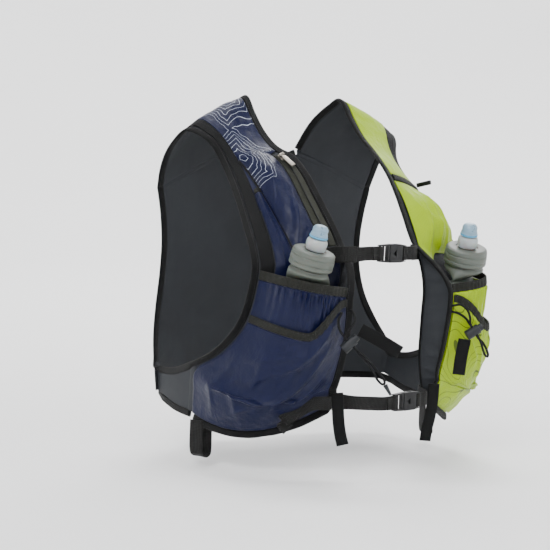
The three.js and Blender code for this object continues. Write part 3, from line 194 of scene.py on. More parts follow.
PANEL = table(
    ("mx", "my", "mz", "lx", "ly", "lz", "crown", "sag"),
    [
        (0.294, 0.9, -0.171, 0.859, 0.76, -0.285, 0.03, 0),
        (0.353, 0.64, -0.08, 0.876, 0.57, -0.205, 0.04, 0),
        (0.4, 0.29, -0.023, 0.865, 0.31, -0.14, 0.04, 0),
        (0.424, 0, 0, 0.824, 0, -0.094, 0.04, 0),
        (0.429, -0.078, -0.051, 0.771, -0.088, -0.114, 0.04, 0),
        (0.429, -0.176, -0.108, 0.729, -0.137, -0.142, 0.04, 0),
        (0.418, -0.288, -0.151, 0.706, -0.185, -0.179, 0.04, 0),
        (0.376, -0.39, -0.177, 0.706, -0.254, -0.222, 0.05, 0),
        (0.362, -0.493, -0.222, 0.735, -0.366, -0.279, 0.05, 0),
        (0.353, -0.585, -0.282, 0.765, -0.463, -0.336, 0.05, 0),
        (0.338, -0.668, -0.342, 0.788, -0.541, -0.387, 0.05, 0),
        (0.324, -0.746, -0.402, 0.806, -0.61, -0.436, 0.04, 0),
        (0.324, -0.815, -0.462, 0.818, -0.654, -0.481, 0.03, 0),
        (0.335, -0.844, -0.516, 0.826, -0.663, -0.501, 0.02, 0),
        (0.353, -0.844, -0.57, 0.832, -0.663, -0.53, 0.02, 0),
        (0.353, -0.839, -0.632, 0.859, -0.654, -0.604, 0.04, 0.01),
        (0.353, -0.834, -0.701, 0.9, -0.62, -0.678, 0.07, 0.01),
        (0.353, -0.829, -0.769, 0.947, -0.507, -0.752, 0.11, 0.02),
        (0.359, -0.834, -0.832, 0.979, -0.312, -0.82, 0.15, 0.05),
        (0.376, -0.84, -0.88, 0.976, -0.293, -0.895, 0.16, 0.1),
        (0.424, -0.84, -0.917, 0.959, -0.273, -0.963, 0.16, 0.14),
    ],
)


def depth_of(share):
    return share * np.where(share < 0, FRONT_REACH, BACK_REACH)


for edge_name in "ml":
    PANEL[edge_name + "x"] = PANEL[edge_name + "x"] * CHEST_HALF_WIDTH
    PANEL[edge_name + "y"] = depth_of(PANEL[edge_name + "y"])
    PANEL[edge_name + "z"] = PANEL[edge_name + "z"] * VEST_DROP


def edge(name, v):
    return np.stack([read(PANEL, name + axis, v) for axis in "xyz"], -1)


def across(v):
    return edge("l", v) - edge("m", v)


def outward(v):
    def middle(w):
        w = np.clip(w, 0, HEM)
        return edge("m", w) + edge("l", w)

    v = np.asarray(v, float)
    return unit(np.cross(middle(v + 0.5) - middle(v - 0.5), across(v)))


def on_panel(u, v, height=0.0):
    """A point of the chest panel: u from the neck side to the arm side, v down its rows."""
    u, v, height = np.broadcast_arrays(np.asarray(u, float), np.asarray(v, float),
                                       np.asarray(height, float))
    chord = across(v)
    bow = 4 * u * (1 - u) * np.linalg.norm(chord, axis=-1)
    found = edge("m", v) + chord * u[..., None]
    found = found + outward(v) * (height + bow * read(PANEL, "crown", v))[..., None]
    found[..., 2] -= bow * read(PANEL, "sag", v)
    return found


def row_length(v):
    return float(np.linalg.norm(on_panel(0.5, v + 0.5) - on_panel(0.5, v - 0.5)))


def mirrored(points, side):
    found = np.array(points, float)
    found[..., 0] *= side
    return found


SWELL = table(
    ("neck", "inner", "middle", "outer", "arm"),
    [
        (0.62, 0.92, 1, 0.66, 0),
        (0.62, 0.87, 0.93, 0.6, 0),
        (0.56, 0.8, 0.84, 0.52, 0),
        (0.47, 0.69, 0.72, 0.45, 0),
        (0.36, 0.55, 0.57, 0.36, 0),
        (0.2, 0.34, 0.36, 0.22, 0),
        (0, 0, 0, 0, 0),
    ],
)


def pocket_height(u, v):
    u, v = np.broadcast_arrays(np.asarray(u, float), np.asarray(v, float))
    shares = [read(SWELL, name, v - MOUTH) for name in ("neck", "inner", "middle", "outer", "arm")]
    w = np.clip(u, 0, 1) * 4
    i = np.clip(np.floor(w), 0, 3).astype(int)
    t = w - i
    stack = np.stack([shares[0], *shares, shares[-1]], 0)
    pick = np.take_along_axis
    a, b, c, d = (pick(stack, np.clip(i + k, 0, 6)[None], 0)[0] for k in (0, 1, 2, 3))
    share = b + 0.5 * t * (c - a + t * (2 * a - 5 * b + 4 * c - d + t * (3 * (b - c) + d - a)))
    return LAYER_TOP + BOTTLE_POCKET_DEPTH * np.maximum(share, 0)


def edge_lift(v):
    v = np.asarray(v, float)
    low = CLOTH / 2 + GAP * 2
    high = pocket_height(0.0, np.maximum(v, MOUTH)) - POCKET_CLOTH / 2
    return mix(low, high, smooth((v - 11.2) / (MOUTH - 11.2)))


def lower_mouth(u):
    return mix(MOUTH + 0.45, MOUTH + 1.7, smooth(np.asarray(u, float) / 0.45))


def front_pocket_height(u, v):
    start = lower_mouth(u)
    down = clamp((v - start) / (HEM - start))
    slack = FRONT_POCKET_SLACK * arch(u) * (1 - down) ** 2
    return pocket_height(u, v) + LAYER_GAP + POCKET_CLOTH + slack * smooth((HEM - v) / 2)


def neck_side_of_pouch(v):
    rise = mix(ZIP_TAPE[0], ZIP_TAPE[1] + 0.015, smooth((v - ZIP_TOP + 0.5) / 0.4))
    return rise - (ZIP_TAPE[1] - ZIP_TAPE[0]) * smooth((v - ZIP_END - 0.2) / 0.4)


def flap_edge(v):
    return mix(MESH_START - 0.01, 0.5, clamp((v - ZIP_TOP) / (POUCH_END - ZIP_TOP)) ** 0.8)


def pouch_height(depth, u, start, end, rise, v):
    swell = smooth((v - rise[0]) / (rise[1] - rise[0])) * smooth((rise[3] - v) / (rise[3] - rise[2]))
    return LAYER_TOP + depth * swell * arch((u - start) / (end - start)) ** 0.8


def right_pouch_height(u, v):
    return pouch_height(RIGHT_POUCH_DEPTH, u, neck_side_of_pouch(v), flap_edge(v), (5.2, 8, 9.6, 11.3), v)


def stretch_height(u, v):
    return pouch_height(STRETCH_POCKET_DEPTH, u, flap_edge(v), MESH_START, (7.5, 9, 12, POUCH_END), v)


LEFT_POUCH_TOP = LEFT_ZIP + (LEFT_ZIP_BAND_WIDTH / 2 + 1) / row_length(LEFT_ZIP)


def left_pouch_end(u):
    return mix(POUCH_END - 0.2, 11.9, smooth(np.asarray(u, float) / 0.35))


def left_pouch_height(u, v):
    web = np.maximum(1 - u / 0.3, 0) ** 1.5 * np.maximum(edge_lift(v) - LAYER_TOP, 0)
    return pouch_height(LEFT_POUCH_DEPTH, u, 0, 1, (LEFT_POUCH_TOP - 0.2, 9.8, 10.7, 12), v) + web


BACK = table(
    ("edgeX", "edgeY", "edgeZ", "centreY", "centreZ"),
    [
        (0.859, 0.76, -0.288, 0.93, -0.208),
        (0.818, 0.79, -0.385, 0.97, -0.34),
        (0.8, 0.81, -0.49, 0.99, -0.46),
        (0.82, 0.79, -0.6, 1, -0.58),
        (0.88, 0.64, -0.71, 0.98, -0.7),
        (0.95, 0.34, -0.8, 0.95, -0.8),
        (0.974, 0.2, -0.866, 0.94, -0.866),
        (0.96, 0.2, -0.923, 0.93, -0.923),
    ],
)
BACK_HEM = 7
NECK_SHARE = 0.294 / 0.859
YOKE_CROWN = 0.005


def back_point(s, v):
    s, v = np.broadcast_arrays(np.asarray(s, float), np.asarray(v, float))
    a = np.abs(s)
    corner = -0.171 - 0.004
    t = (a - NECK_SHARE) / (1 - NECK_SHARE)
    top = np.where(a < NECK_SHARE, mix(-0.208, corner, (a / NECK_SHARE) ** 2),
                   mix(corner, -0.288, t) + 4 * t * (1 - t) * YOKE_CROWN)
    last = len(BACK["edgeX"]) - 1
    i = np.clip(np.floor(v), 0, last - 1).astype(int)
    t = (v - i)[..., None]

    def row(k):
        k = np.clip(k, 0, last)
        y = mix(BACK["centreY"][k], BACK["edgeY"][k], a ** 3) * BACK_REACH
        z = np.where(k == 0, top, mix(BACK["centreZ"][k], BACK["edgeZ"][k], a * a)) * VEST_DROP
        return np.stack([s * BACK["edgeX"][k] * CHEST_HALF_WIDTH, y, z], -1)

    a0, b, c, d = row(i - 1), row(i), row(i + 1), row(i + 2)
    return b + 0.5 * t * (c - a0 + t * (2 * a0 - 5 * b + 4 * c - d + t * (3 * (b - c) + d - a0)))


def on_back(s, v, height=0.0):
    step = 0.01
    over_s = back_point(s + step, v) - back_point(s - step, v)
    over_v = back_point(s, np.minimum(v + step, BACK_HEM)) - back_point(s, np.maximum(v - step, 0))
    return back_point(s, v) + unit(np.cross(over_s, over_v)) * np.asarray(height, float)[..., None]


SIDE = table(
    ("topX", "topY", "topZ", "lowX", "lowY", "lowZ"),
    [
        (0.98, -0.302, -0.822, 0.961, -0.268, -0.962),
        (0.99, -0.132, -0.858, 0.968, -0.117, -0.952),
        (0.977, 0.18, -0.866, 0.963, 0.18, -0.925),
    ],
)
for level_name in ("top", "low"):
    SIDE[level_name + "X"] = SIDE[level_name + "X"] * CHEST_HALF_WIDTH
    SIDE[level_name + "Y"] = depth_of(SIDE[level_name + "Y"])
    SIDE[level_name + "Z"] = SIDE[level_name + "Z"] * VEST_DROP


def on_side(s, t, height=0.0):
    s, t = np.broadcast_arrays(np.asarray(s, float), np.asarray(t, float))
    found = [mix(read(SIDE, "top" + axis, s * 2), read(SIDE, "low" + axis, s * 2), t) for axis in "XYZ"]
    found[0] = found[0] + height
    return np.stack(found, -1)


# Folds in the cloth
def lattice_noise(x, y, seed):
    """Smooth noise from -1 to 1 on a fixed random lattice."""
    values = np.random.default_rng(seed).uniform(-1, 1, (64, 64))
    xi, yi = np.floor(x).astype(int), np.floor(y).astype(int)
    tx, ty = smooth(x - xi), smooth(y - yi)
    pick = lambda a, b: values[a % 64, b % 64]
    top = mix(pick(xi, yi), pick(xi + 1, yi), tx)
    return mix(top, mix(pick(xi, yi + 1), pick(xi + 1, yi + 1), tx), ty)


def rumple(x, y, seed, octaves=3):
    total = 0
    for k in range(octaves):
        total = total + lattice_noise(x * 2 ** k + 7 * k, y * 2 ** k + 3 * k, seed + k) / 1.9 ** k
    return total


def creases(u, v, lines):
    """Ridges and hollows along chosen lines: u, v of both ends, half width, height at the middle."""
    total = 0
    for u0, v0, u1, v1, width, height in lines:
        du, dv = u1 - u0, (v1 - v0) / 6
        x, y = u - u0, (v - v0) / 6
        along = (x * du + y * dv) / (du * du + dv * dv)
        wander = 0.35 * width * np.sin(along * 7 + u0 * 40)
        off = (x * dv - y * du) / math.hypot(du, dv) + wander
        fade = smooth((along + 0.15) / 0.3) * smooth((1.15 - along) / 0.3)
        total = total + height * fade / (1 + (off / width) ** 2) ** 1.5
    return total


# Making meshes
BODY_AXIS = np.array([0.0, -60.0])


def new_object(name, vertices, faces, uvs, material):
    mesh = bpy.data.meshes.new(name)
    mesh.from_pydata((np.asarray(vertices) * MM).tolist(), [], faces)
    layer = mesh.uv_layers.new(name="cloth")
    loops = np.empty(len(mesh.loops), int)
    mesh.loops.foreach_get("vertex_index", loops)
    layer.data.foreach_set("uv", (np.asarray(uvs) * MM)[loops].astype(np.float32).ravel())
    mesh.polygons.foreach_set("use_smooth", [True] * len(mesh.polygons))
    mesh.update()
    built = bpy.data.objects.new(name.replace(" ", "_"), mesh)
    bpy.context.scene.collection.objects.link(built)
    mesh.materials.append(material)
    return built


def shell(grid, thickness, flip=None):
    """Closed wall under a grid of outer points: vertices, faces and flat coordinates."""
    rows, cols = grid.shape[:2]
    normal = unit(np.cross(np.gradient(grid, axis=1), np.gradient(grid, axis=0)))
    if flip is None:
        away = grid[..., :2] - BODY_AXIS
        flip = (normal[..., :2] * away).sum() < 0
    if flip:
        normal = -normal
    inner = grid - normal * thickness
    vertices = np.concatenate([grid.reshape(-1, 3), inner.reshape(-1, 3)])
    along = np.linalg.norm(np.diff(grid, axis=1), axis=-1).mean(0)
    down = np.linalg.norm(np.diff(grid, axis=0), axis=-1).mean(1)
    s, t = np.meshgrid(np.concatenate([[0], along.cumsum()]), np.concatenate([[0], down.cumsum()]))
    uv = np.stack([s, t], -1).reshape(-1, 2)
    index = np.arange(rows * cols).reshape(rows, cols)
    quads = np.stack([index[:-1, :-1], index[:-1, 1:], index[1:, 1:], index[1:, :-1]], -1).reshape(-1, 4)
    ring = np.concatenate([index[0, :-1], index[:-1, -1], index[-1, :0:-1], index[:0:-1, 0]])
    following = np.roll(ring, -1)
    count = rows * cols
    rim = np.stack([ring, ring + count, following + count, following], -1)
    faces = np.concatenate([quads, quads[:, ::-1] + count, rim])
    p = vertices[quads[len(quads) // 2]]
    out = normal.reshape(-1, 3)[quads[len(quads) // 2][0]]
    if np.dot(np.cross(p[1] - p[0], p[2] - p[0]), out) < 0:
        faces = faces[:, ::-1]
    return vertices, faces, np.concatenate([uv, uv])


def merged(parts):
    vertices, faces, uvs, start = [], [], [], 0
    for v, f, uv in parts:
        vertices.append(v)
        uvs.append(uv)
        faces.extend((np.asarray(face) + start).tolist() for face in f)
        start += len(v)
    return np.concatenate(vertices), faces, np.concatenate(uvs)


def finish_piece(piece, material_slot, *nodes, body=BODY):
    if nodes:
        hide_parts(*nodes)
    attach(piece, body)
    return piece


def cloth(name, grid, thickness, material, material_slot, nodes, extra=()):
    parts = [shell(grid, thickness), *extra]
    piece = new_object(name, *merged(parts), material)
    return finish_piece(piece, material_slot, *nodes)


def one_part(name, part, material, material_slot, *nodes):
    """A piece made of one swept part."""
    return finish_piece(new_object(name, *merged([part]), material), material_slot, *nodes)


def lattice(u_range, v_range, columns, rows):
    return np.meshgrid(np.linspace(*u_range, columns), np.linspace(*v_range, rows))


def smooth_line(points, per_span=8):
    """Centripetal Catmull-Rom line through points."""
    p = np.asarray(points, float)
    q = np.concatenate([[2 * p[0] - p[1]], p, [2 * p[-1] - p[-2]]])
    found = []
    for k in range(1, len(q) - 2):
        a, b, c, d = q[k - 1:k + 3]
        t0 = 0.0
        t1 = t0 + max(np.linalg.norm(b - a), 1e-6) ** 0.5
        t2 = t1 + max(np.linalg.norm(c - b), 1e-6) ** 0.5
        t3 = t2 + max(np.linalg.norm(d - c), 1e-6) ** 0.5
        t = np.linspace(t1, t2, per_span, endpoint=False)[:, None]
        a1 = (t1 - t) / (t1 - t0) * a + (t - t0) / (t1 - t0) * b
        a2 = (t2 - t) / (t2 - t1) * b + (t - t1) / (t2 - t1) * c
        a3 = (t3 - t) / (t3 - t2) * c + (t - t2) / (t3 - t2) * d
        b1 = (t2 - t) / (t2 - t0) * a1 + (t - t0) / (t2 - t0) * a2
        b2 = (t3 - t) / (t3 - t1) * a2 + (t - t1) / (t3 - t1) * a3
        found.append((t2 - t) / (t2 - t1) * b1 + (t - t1) / (t2 - t1) * b2)
    return np.concatenate(found + [p[-1:]])


def bent(x, power):
    return np.sign(x) * np.abs(x) ** power


def section(width, thickness, count=16, power=4.0):
    angle = np.linspace(0, 2 * np.pi, count, endpoint=False)
    over, out = bent(np.cos(angle), 2 / power), bent(np.sin(angle), 2 / power)
    return np.stack([over * width / 2, out * thickness / 2], -1)


def swept(path, side, shape, widths=None):
    """Closed sweep of a section along a path: side is the way of its width at each point."""
    along = unit(np.gradient(path, axis=0))
    side = side - (side * along).sum(-1, keepdims=True) * along
    side = unit(side)
    up = np.cross(side, along)
    widths = np.ones(len(path)) if widths is None else widths
    ring = (path[:, None] + side[:, None] * (shape[None, :, :1] * widths[:, None, None])
            + up[:, None] * shape[None, :, 1:])
    n, m = ring.shape[:2]
    length = np.concatenate([[0], np.linalg.norm(np.diff(path, axis=0), axis=-1).cumsum()])
    girth = shape[:, 0]
    uv = np.stack(np.broadcast_arrays(girth[None, :], length[:, None]), -1).reshape(-1, 2)
    index = np.arange(n * m).reshape(n, m)
    beside = np.roll(index, -1, axis=1)
    faces = np.stack([index[:-1], index[1:], beside[1:], beside[:-1]], -1).reshape(-1, 4).tolist()
    faces.append(index[0].tolist())
    faces.append(index[-1][::-1].tolist())
    vertices = ring.reshape(-1, 3)
    p = [vertices[k] for k in faces[0]]
    centre = path[0]
    if np.dot(np.cross(p[1] - p[0], p[2] - p[0]), p[0] - centre) < 0:
        faces = [face[::-1] for face in faces]
    return vertices, faces, uv


def band(name, points, sides, shape, material, material_slot, node, per_span):
    """A flat band along points: sides is the way of its width at each point."""
    part = swept(smooth_line(points, per_span), smooth_line(sides, per_span), shape)
    return one_part(name, part, material, material_slot, node)


def turned(profile, sides, frame_matrix):
    """Lathe of a closed profile (radius, height) about the frame's own z axis."""
    profile = np.asarray(profile, float)
    angle = np.linspace(0, 2 * np.pi, sides, endpoint=False)
    ring = np.stack([profile[:, None, 0] * np.cos(angle), profile[:, None, 0] * np.sin(angle),
                     np.broadcast_to(profile[:, None, 1], (len(profile), sides))], -1)
    n = len(profile)
    index = np.arange(n * sides).reshape(n, sides)
    after, beside = np.roll(index, -1, axis=0), np.roll(index, -1, axis=1)
    both = np.roll(beside, -1, axis=0)
    faces = np.stack([index, beside, both, after], -1).reshape(-1, 4)
    x, y = profile[:, 0], profile[:, 1]
    area = (x * np.roll(y, -1) - np.roll(x, -1) * y).sum()
    det = np.linalg.det(frame_matrix[:3, :3])
    if (area < 0) != (det < 0):
        faces = faces[:, ::-1]
    points = ring.reshape(-1, 3) @ frame_matrix[:3, :3].T + frame_matrix[:3, 3]
    girth = np.cumsum(np.hypot(*np.gradient(profile, axis=0).T))
    uv = np.stack([np.tile(angle * 12, n), np.repeat(girth, sides)], -1)
    return points, faces, uv


def rounded_profile(points, radius=0.5, steps=3):
    """Rounds the corners of a closed profile."""
    p = np.asarray(points, float)
    found = []
    for k in range(len(p)):
        before, here, after = p[k - 1], p[k], p[(k + 1) % len(p)]
        a, b = before - here, after - here
        la, lb = np.linalg.norm(a), np.linalg.norm(b)
        r = min(radius, la * 0.4, lb * 0.4)
        start, end = here + a / la * r, here + b / lb * r
        for t in np.linspace(0, 1, steps):
            found.append((1 - t) ** 2 * start + 2 * t * (1 - t) * here + t * t * end)
    return np.array(found)


def frame_at(origin, x, y, z):
    found = np.eye(4)
    found[:3, 0], found[:3, 1], found[:3, 2], found[:3, 3] = x, y, z, origin
    return found


def evaluated(piece):
    """The piece with its modifiers made part of its mesh."""
    graph = bpy.context.evaluated_depsgraph_get()
    mesh = bpy.data.meshes.new_from_object(piece.evaluated_get(graph))
    piece.modifiers.clear()
    old = piece.data
    piece.data = mesh
    mesh.name = piece.name
    bpy.data.meshes.remove(old)
    return piece


def refined(name, node, bevel, material, material_slot, body=BODY):
    """A moulded piece: the solid with its edges rounded."""
    source = bpy.data.objects[node] if node in bpy.data.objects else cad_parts[node]
    mesh = source.data.copy()
    work = bmesh.new()
    work.from_mesh(mesh)
    bmesh.ops.remove_doubles(work, verts=work.verts, dist=1e-6)
    bmesh.ops.dissolve_limit(work, angle_limit=math.radians(2), verts=work.verts, edges=work.edges)
    work.to_mesh(mesh)
    work.free()
    mesh.materials.clear()
    mesh.materials.append(material)
    piece = bpy.data.objects.new(name.replace(" ", "_"), mesh)
    bpy.context.scene.collection.objects.link(piece)
    rounding = piece.modifiers.new("rounding", "BEVEL")
    rounding.width = bevel * MM
    rounding.segments = 2
    rounding.limit_method = "ANGLE"
    rounding.angle_limit = math.radians(35)
    evaluated(piece)
    piece.data.polygons.foreach_set("use_smooth", [True] * len(piece.data.polygons))
    piece.data.set_sharp_from_angle(angle=math.radians(40))
    return finish_piece(piece, material_slot, node, body=body)


# Materials
class Net:
    """Shader nodes of one material."""

    def __init__(self, name):
        self.material = bpy.data.materials.new(name)
        self.material.use_nodes = True
        self.tree = self.material.node_tree
        self.tree.nodes.clear()
        output = self.node("ShaderNodeOutputMaterial")
        self.shader = self.node("ShaderNodeBsdfPrincipled")
        self.tree.links.new(self.shader.outputs[0], output.inputs["Surface"])

    def node(self, kind, inputs=None, **settings):
        made = self.tree.nodes.new(kind)
        for key, value in settings.items():
            setattr(made, key, value)
        for key, value in (inputs or {}).items():
            self.give(made.inputs[key], value)
        return made

    def give(self, socket, value):
        if isinstance(value, Term):
            self.tree.links.new(value.socket, socket)
        elif socket.type == "RGBA":
            socket.default_value = (*value[:3], 1)
        else:
            socket.default_value = value

    def term(self, kind, output=0, inputs=None, **settings):
        return Term(self, self.node(kind, inputs, **settings).outputs[output])

    def maths(self, operation, *values):
        return self.term("ShaderNodeMath", inputs=dict(enumerate(values)), operation=operation)

    def cloth_place(self):
        """Flat coordinates on the cloth, in metres."""
        place = self.term("ShaderNodeUVMap", uv_map="cloth")
        parts = self.node("ShaderNodeSeparateXYZ", {0: place})
        return Term(self, parts.outputs[0]), Term(self, parts.outputs[1])

    def joined(self, x, y, z=0.0):
        return self.term("ShaderNodeCombineXYZ", inputs={0: x, 1: y, 2: z})

    def solid_place(self):
        return self.term("ShaderNodeTexCoord", output=3)

    def noise(self, vector, scale, detail=2.0, roughness=0.5):
        return self.term("ShaderNodeTexNoise", inputs={
            "Vector": vector, "Scale": scale, "Detail": detail, "Roughness": roughness})

    def blend(self, factor, first, second):
        return self.term("ShaderNodeMix", output=2, data_type="RGBA",
                         inputs={0: factor, 6: first, 7: second})

    def bump(self, height, strength, distance, normal=None):
        inputs = {"Height": height, "Strength": strength, "Distance": distance}
        if normal is not None:
            inputs["Normal"] = normal
        return self.term("ShaderNodeBump", inputs=inputs)

    def surface(self, **inputs):
        for key, value in inputs.items():
            self.give(self.shader.inputs[key.replace("_", " ")], value)
        return self.material


class Term:
    """A socket that can be written in sums."""

    def __init__(self, net, socket):
        self.net, self.socket = net, socket

    def __add__(self, other):
        return self.net.maths("ADD", self, other)

    def __radd__(self, other):
        return self.net.maths("ADD", other, self)

    def __sub__(self, other):
        return self.net.maths("SUBTRACT", self, other)

    def __rsub__(self, other):
        return self.net.maths("SUBTRACT", other, self)

    def __mul__(self, other):
        return self.net.maths("MULTIPLY", self, other)

    def __rmul__(self, other):
        return self.net.maths("MULTIPLY", other, self)

    def __truediv__(self, other):
        return self.net.maths("DIVIDE", self, other)

    def __lt__(self, other):
        return self.net.maths("LESS_THAN", self, other)

    def __gt__(self, other):
        return self.net.maths("GREATER_THAN", self, other)

    def __abs__(self):
        return self.net.maths("ABSOLUTE", self)


def shades(colour, factor):
    return tuple(min(1.0, c * factor) for c in colour)


MADE = {}


def once(build):
    def give():
        if build.__name__ not in MADE:
            MADE[build.__name__] = build()
        return MADE[build.__name__]

    return give


def shell_cloth(name, colour, art=None, roughness=0.42, sheen=0.03):
    net = Net(name)
    x, y = net.cloth_place()
    grid = net.maths("MAXIMUM", net.maths("PINGPONG", x, 0.0016), net.maths("PINGPONG", y, 0.0016))
    thread = grid > 0.00145
    mottle = net.noise(net.solid_place(), 22.0, 3.0)
    base = net.blend(mottle, shades(colour, 0.84), shades(colour, 1.16))
    # the ripstop grid is woven into the cloth; its threads are also painted lighter, a painted highlight on
    # their raised lines
    base = net.blend(thread * 0.25, base, shades(colour, 1.5))
    rough = roughness + mottle * 0.12
    if art is not None:
        base = art(net, x, y, base)
    fine = net.noise(net.joined(x, y), 160.0, 3.0, 0.6)
    creased = 1.0 - abs(net.noise(net.solid_place(), 34.0, 4.0, 0.5) - 0.5) * 3.0
    normal = net.bump(thread * 0.3 + fine * 0.7, 0.35, 0.0004)
    normal = net.bump(creased, 0.4, 0.0024, normal)
    return net.surface(Base_Color=base, Roughness=rough, Normal=normal, Sheen_Weight=sheen,
                       Sheen_Roughness=0.35, Specular_IOR_Level=0.17)


def nested_angles(net, x, y, base):
    """Thin pale rings of straight strokes, nested about two centres."""
    rings = []
    bend = net.noise(net.joined(x, y), 24.0, 2.0, 0.5) * 0.034
    bow = net.noise(net.joined(x, y, 0.7), 24.0, 2.0, 0.5) * 0.034
    for cx, cy, turn in ((0.030, 0.095, 0.35), (0.062, 0.190, -0.5)):
        dx, dy = (x + bend - cx) * 1.15, (y + bow - cy) * 0.75
        ring = None
        for angle in (turn, turn + 1.15, turn + 2.2):
            reach = abs(dx * math.cos(angle) + dy * math.sin(angle))
            ring = reach if ring is None else net.maths("MAXIMUM", ring, reach)
        rings.append(ring)
    field = net.maths("MINIMUM", rings[0], rings[1])
    line = net.maths("PINGPONG", field, 0.0026) < 0.0002
    area = (y > 0.03) * (field < 0.04) * (field > 0.004)
    return net.blend(line * area, base, (0.42, 0.46, 0.54))


def level_lines(net, x, y, base):
    """Thin dark lines that run level round soft hills."""
    hills = net.noise(net.joined(x * 1.0, y * 0.8, 3.1), 17.0, 1.0, 0.4)
    line = net.maths("PINGPONG", hills * 14.0, 0.5) < 0.045
    return net.blend(line * 0.8, base, (0.03, 0.045, 0.01))


@once
def right_cloth():
    return shell_cloth("right shell cloth", tuple(colours().right_shell), roughness=0.3, sheen=0.03)


@once
def right_art_cloth():
    return shell_cloth("right shell cloth with angled rings", tuple(colours().right_shell), nested_angles,
                       0.3, 0.03)


@once
def left_cloth():
    return shell_cloth("left shell cloth", tuple(colours().left_shell), roughness=0.38, sheen=0.02)


@once
def left_art_cloth():
    return shell_cloth("left shell cloth with level lines", tuple(colours().left_shell), level_lines, 0.38,
                       0.02)


@once
def base_cloth():
    net = Net("base cloth")
    x, y = net.cloth_place()
    weave = net.maths("SINE", x * 5200.0) * net.maths("SINE", y * 5200.0)
    mottle = net.noise(net.solid_place(), 30.0, 3.0)
    base = net.blend(mottle, (0.014, 0.0155, 0.0185), (0.026, 0.029, 0.034))
    normal = net.bump(weave, 0.4, 0.0003)
    normal = net.bump(net.noise(net.solid_place(), 45.0), 0.3, 0.003, normal)
    return net.surface(Base_Color=base, Roughness=0.5 + mottle * 0.2, Normal=normal, Sheen_Weight=0.04,
                       Sheen_Roughness=0.3, Specular_IOR_Level=0.22)


@once
def mesh_cloth():
    net = Net("open mesh")
    x, y = net.cloth_place()
    step = 0.0022
    across_dot = net.maths("PINGPONG", x, step / 2) - step / 4
    down_dot = net.maths("PINGPONG", y + x * 0.5, step / 2) - step / 4
    hole = (across_dot * across_dot + down_dot * down_dot) < (step * 0.17) ** 2
    trim = tuple(colours().trim)
    # painted shade: the openings of the mesh are painted near black and the strands lighter, standing in
    # for the shade seen down through the holes
    base = net.blend(hole, shades(trim, 2.2), shades(trim, 0.3))
    normal = net.bump(1.0 - hole, 0.8, 0.0006)
    return net.surface(Base_Color=base, Roughness=0.75, Normal=normal, Sheen_Weight=0.03,
                       Specular_IOR_Level=0.15)


def ribbed(name, colour, pitch, along=True, roughness=0.7, sheen=0.05, depth=0.0004):
    net = Net(name)
    x, y = net.cloth_place()
    rib = net.maths("SINE", (y if along else x) * (6.2832 / pitch))
    cross = net.maths("SINE", (x if along else y) * (6.2832 / (pitch * 1.3)))
    worn = net.noise(net.solid_place(), 120.0, 3.0)
    # the worn noise is wear; the rib term is painted light and shade, with crests painted lighter and the
    # grooves between ribs painted darker, following the bump
    base = net.blend(worn * 0.6 + rib * 0.2, shades(colour, 0.7), shades(colour, 1.5))
    normal = net.bump(rib + cross * 0.5, 0.6, depth)
    return net.surface(Base_Color=base, Roughness=roughness + worn * 0.15, Normal=normal,
                       Sheen_Weight=sheen,
                       Sheen_Roughness=0.4, Specular_IOR_Level=0.18)


@once
def binding_tape():
    return ribbed("binding tape", tuple(colours().trim), 0.0009, roughness=0.68)


@once
def elastic_band():
    return ribbed("elastic band", tuple(colours().elastic), 0.0014, along=False, roughness=0.7)


@once
def zip_tape():
    return ribbed("zip tape", (0.030, 0.031, 0.024), 0.0010, roughness=0.75)


@once
def strap_webbing():
    return ribbed("strap webbing", tuple(colours().webbing), 0.0016, roughness=0.62, depth=0.0005)


@once
def cord_braid():
    net = Net("cord braid")
    x, y = net.cloth_place()
    twist = net.maths("SINE", y * 3600.0 + x * 1800.0)
    # painted shade: the grooves of the braid are painted darker and its crests lighter, following the twist
    # that also drives the bump
    base = net.blend(twist * 0.5 + 0.5, (0.003, 0.003, 0.0035), (0.012, 0.012, 0.013))
    return net.surface(Base_Color=base, Roughness=0.7, Normal=net.bump(twist, 0.5, 0.0003),
                       Specular_IOR_Level=0.12)


@once
def thread_dark():
    net = Net("dark thread")
    fleck = net.noise(net.solid_place(), 900.0)
    return net.surface(Base_Color=net.blend(fleck, (0.01, 0.01, 0.012), (0.05, 0.05, 0.055)), Roughness=0.7)


def moulded(name, low, high, roughness, scale=90.0, **extra):
    net = Net(name)
    mottle = net.noise(net.solid_place(), scale, 4.0, 0.6)
    grain = net.noise(net.solid_place(), 1400.0, 2.0)
    return net.surface(Base_Color=net.blend(mottle, low, high), Roughness=roughness + mottle * 0.14,
                       Normal=net.bump(grain, 0.12, 0.0002), **extra)


@once
def black_plastic():
    return moulded("buckle plastic", (0.004, 0.0042, 0.005), (0.010, 0.0105, 0.0115), 0.4,
                   Specular_IOR_Level=0.25)


@once
def lock_plastic():
    return moulded("lock plastic", (0.010, 0.011, 0.013), (0.018, 0.020, 0.024), 0.4,
                   Specular_IOR_Level=0.25)


@once
def slider_metal():
    return moulded("slider metal", (0.16, 0.145, 0.125), (0.34, 0.31, 0.27), 0.24, 220.0, Metallic=0.95)


@once
def flask_plastic():
    colour = tuple(colours().flask)
    return moulded("flask plastic", shades(colour, 0.85), shades(colour, 1.1), 0.42, 40.0,
                   Subsurface_Weight=0.15, Subsurface_Scale=0.004)


@once
def frosted_plastic():
    return moulded("frosted spout", (0.42, 0.46, 0.46), (0.52, 0.56, 0.57), 0.3, 60.0,
                   Transmission_Weight=0.35, Subsurface_Weight=0.3, Subsurface_Scale=0.005)


@once
def valve_plastic():
    return moulded("blue valve", (0.20, 0.34, 0.46), (0.30, 0.45, 0.56), 0.22, 70.0,
                   Transmission_Weight=0.35)


@once
def insert_plastic():
    return moulded("valve insert", (0.05, 0.24, 0.42), (0.09, 0.33, 0.52), 0.3, 70.0)


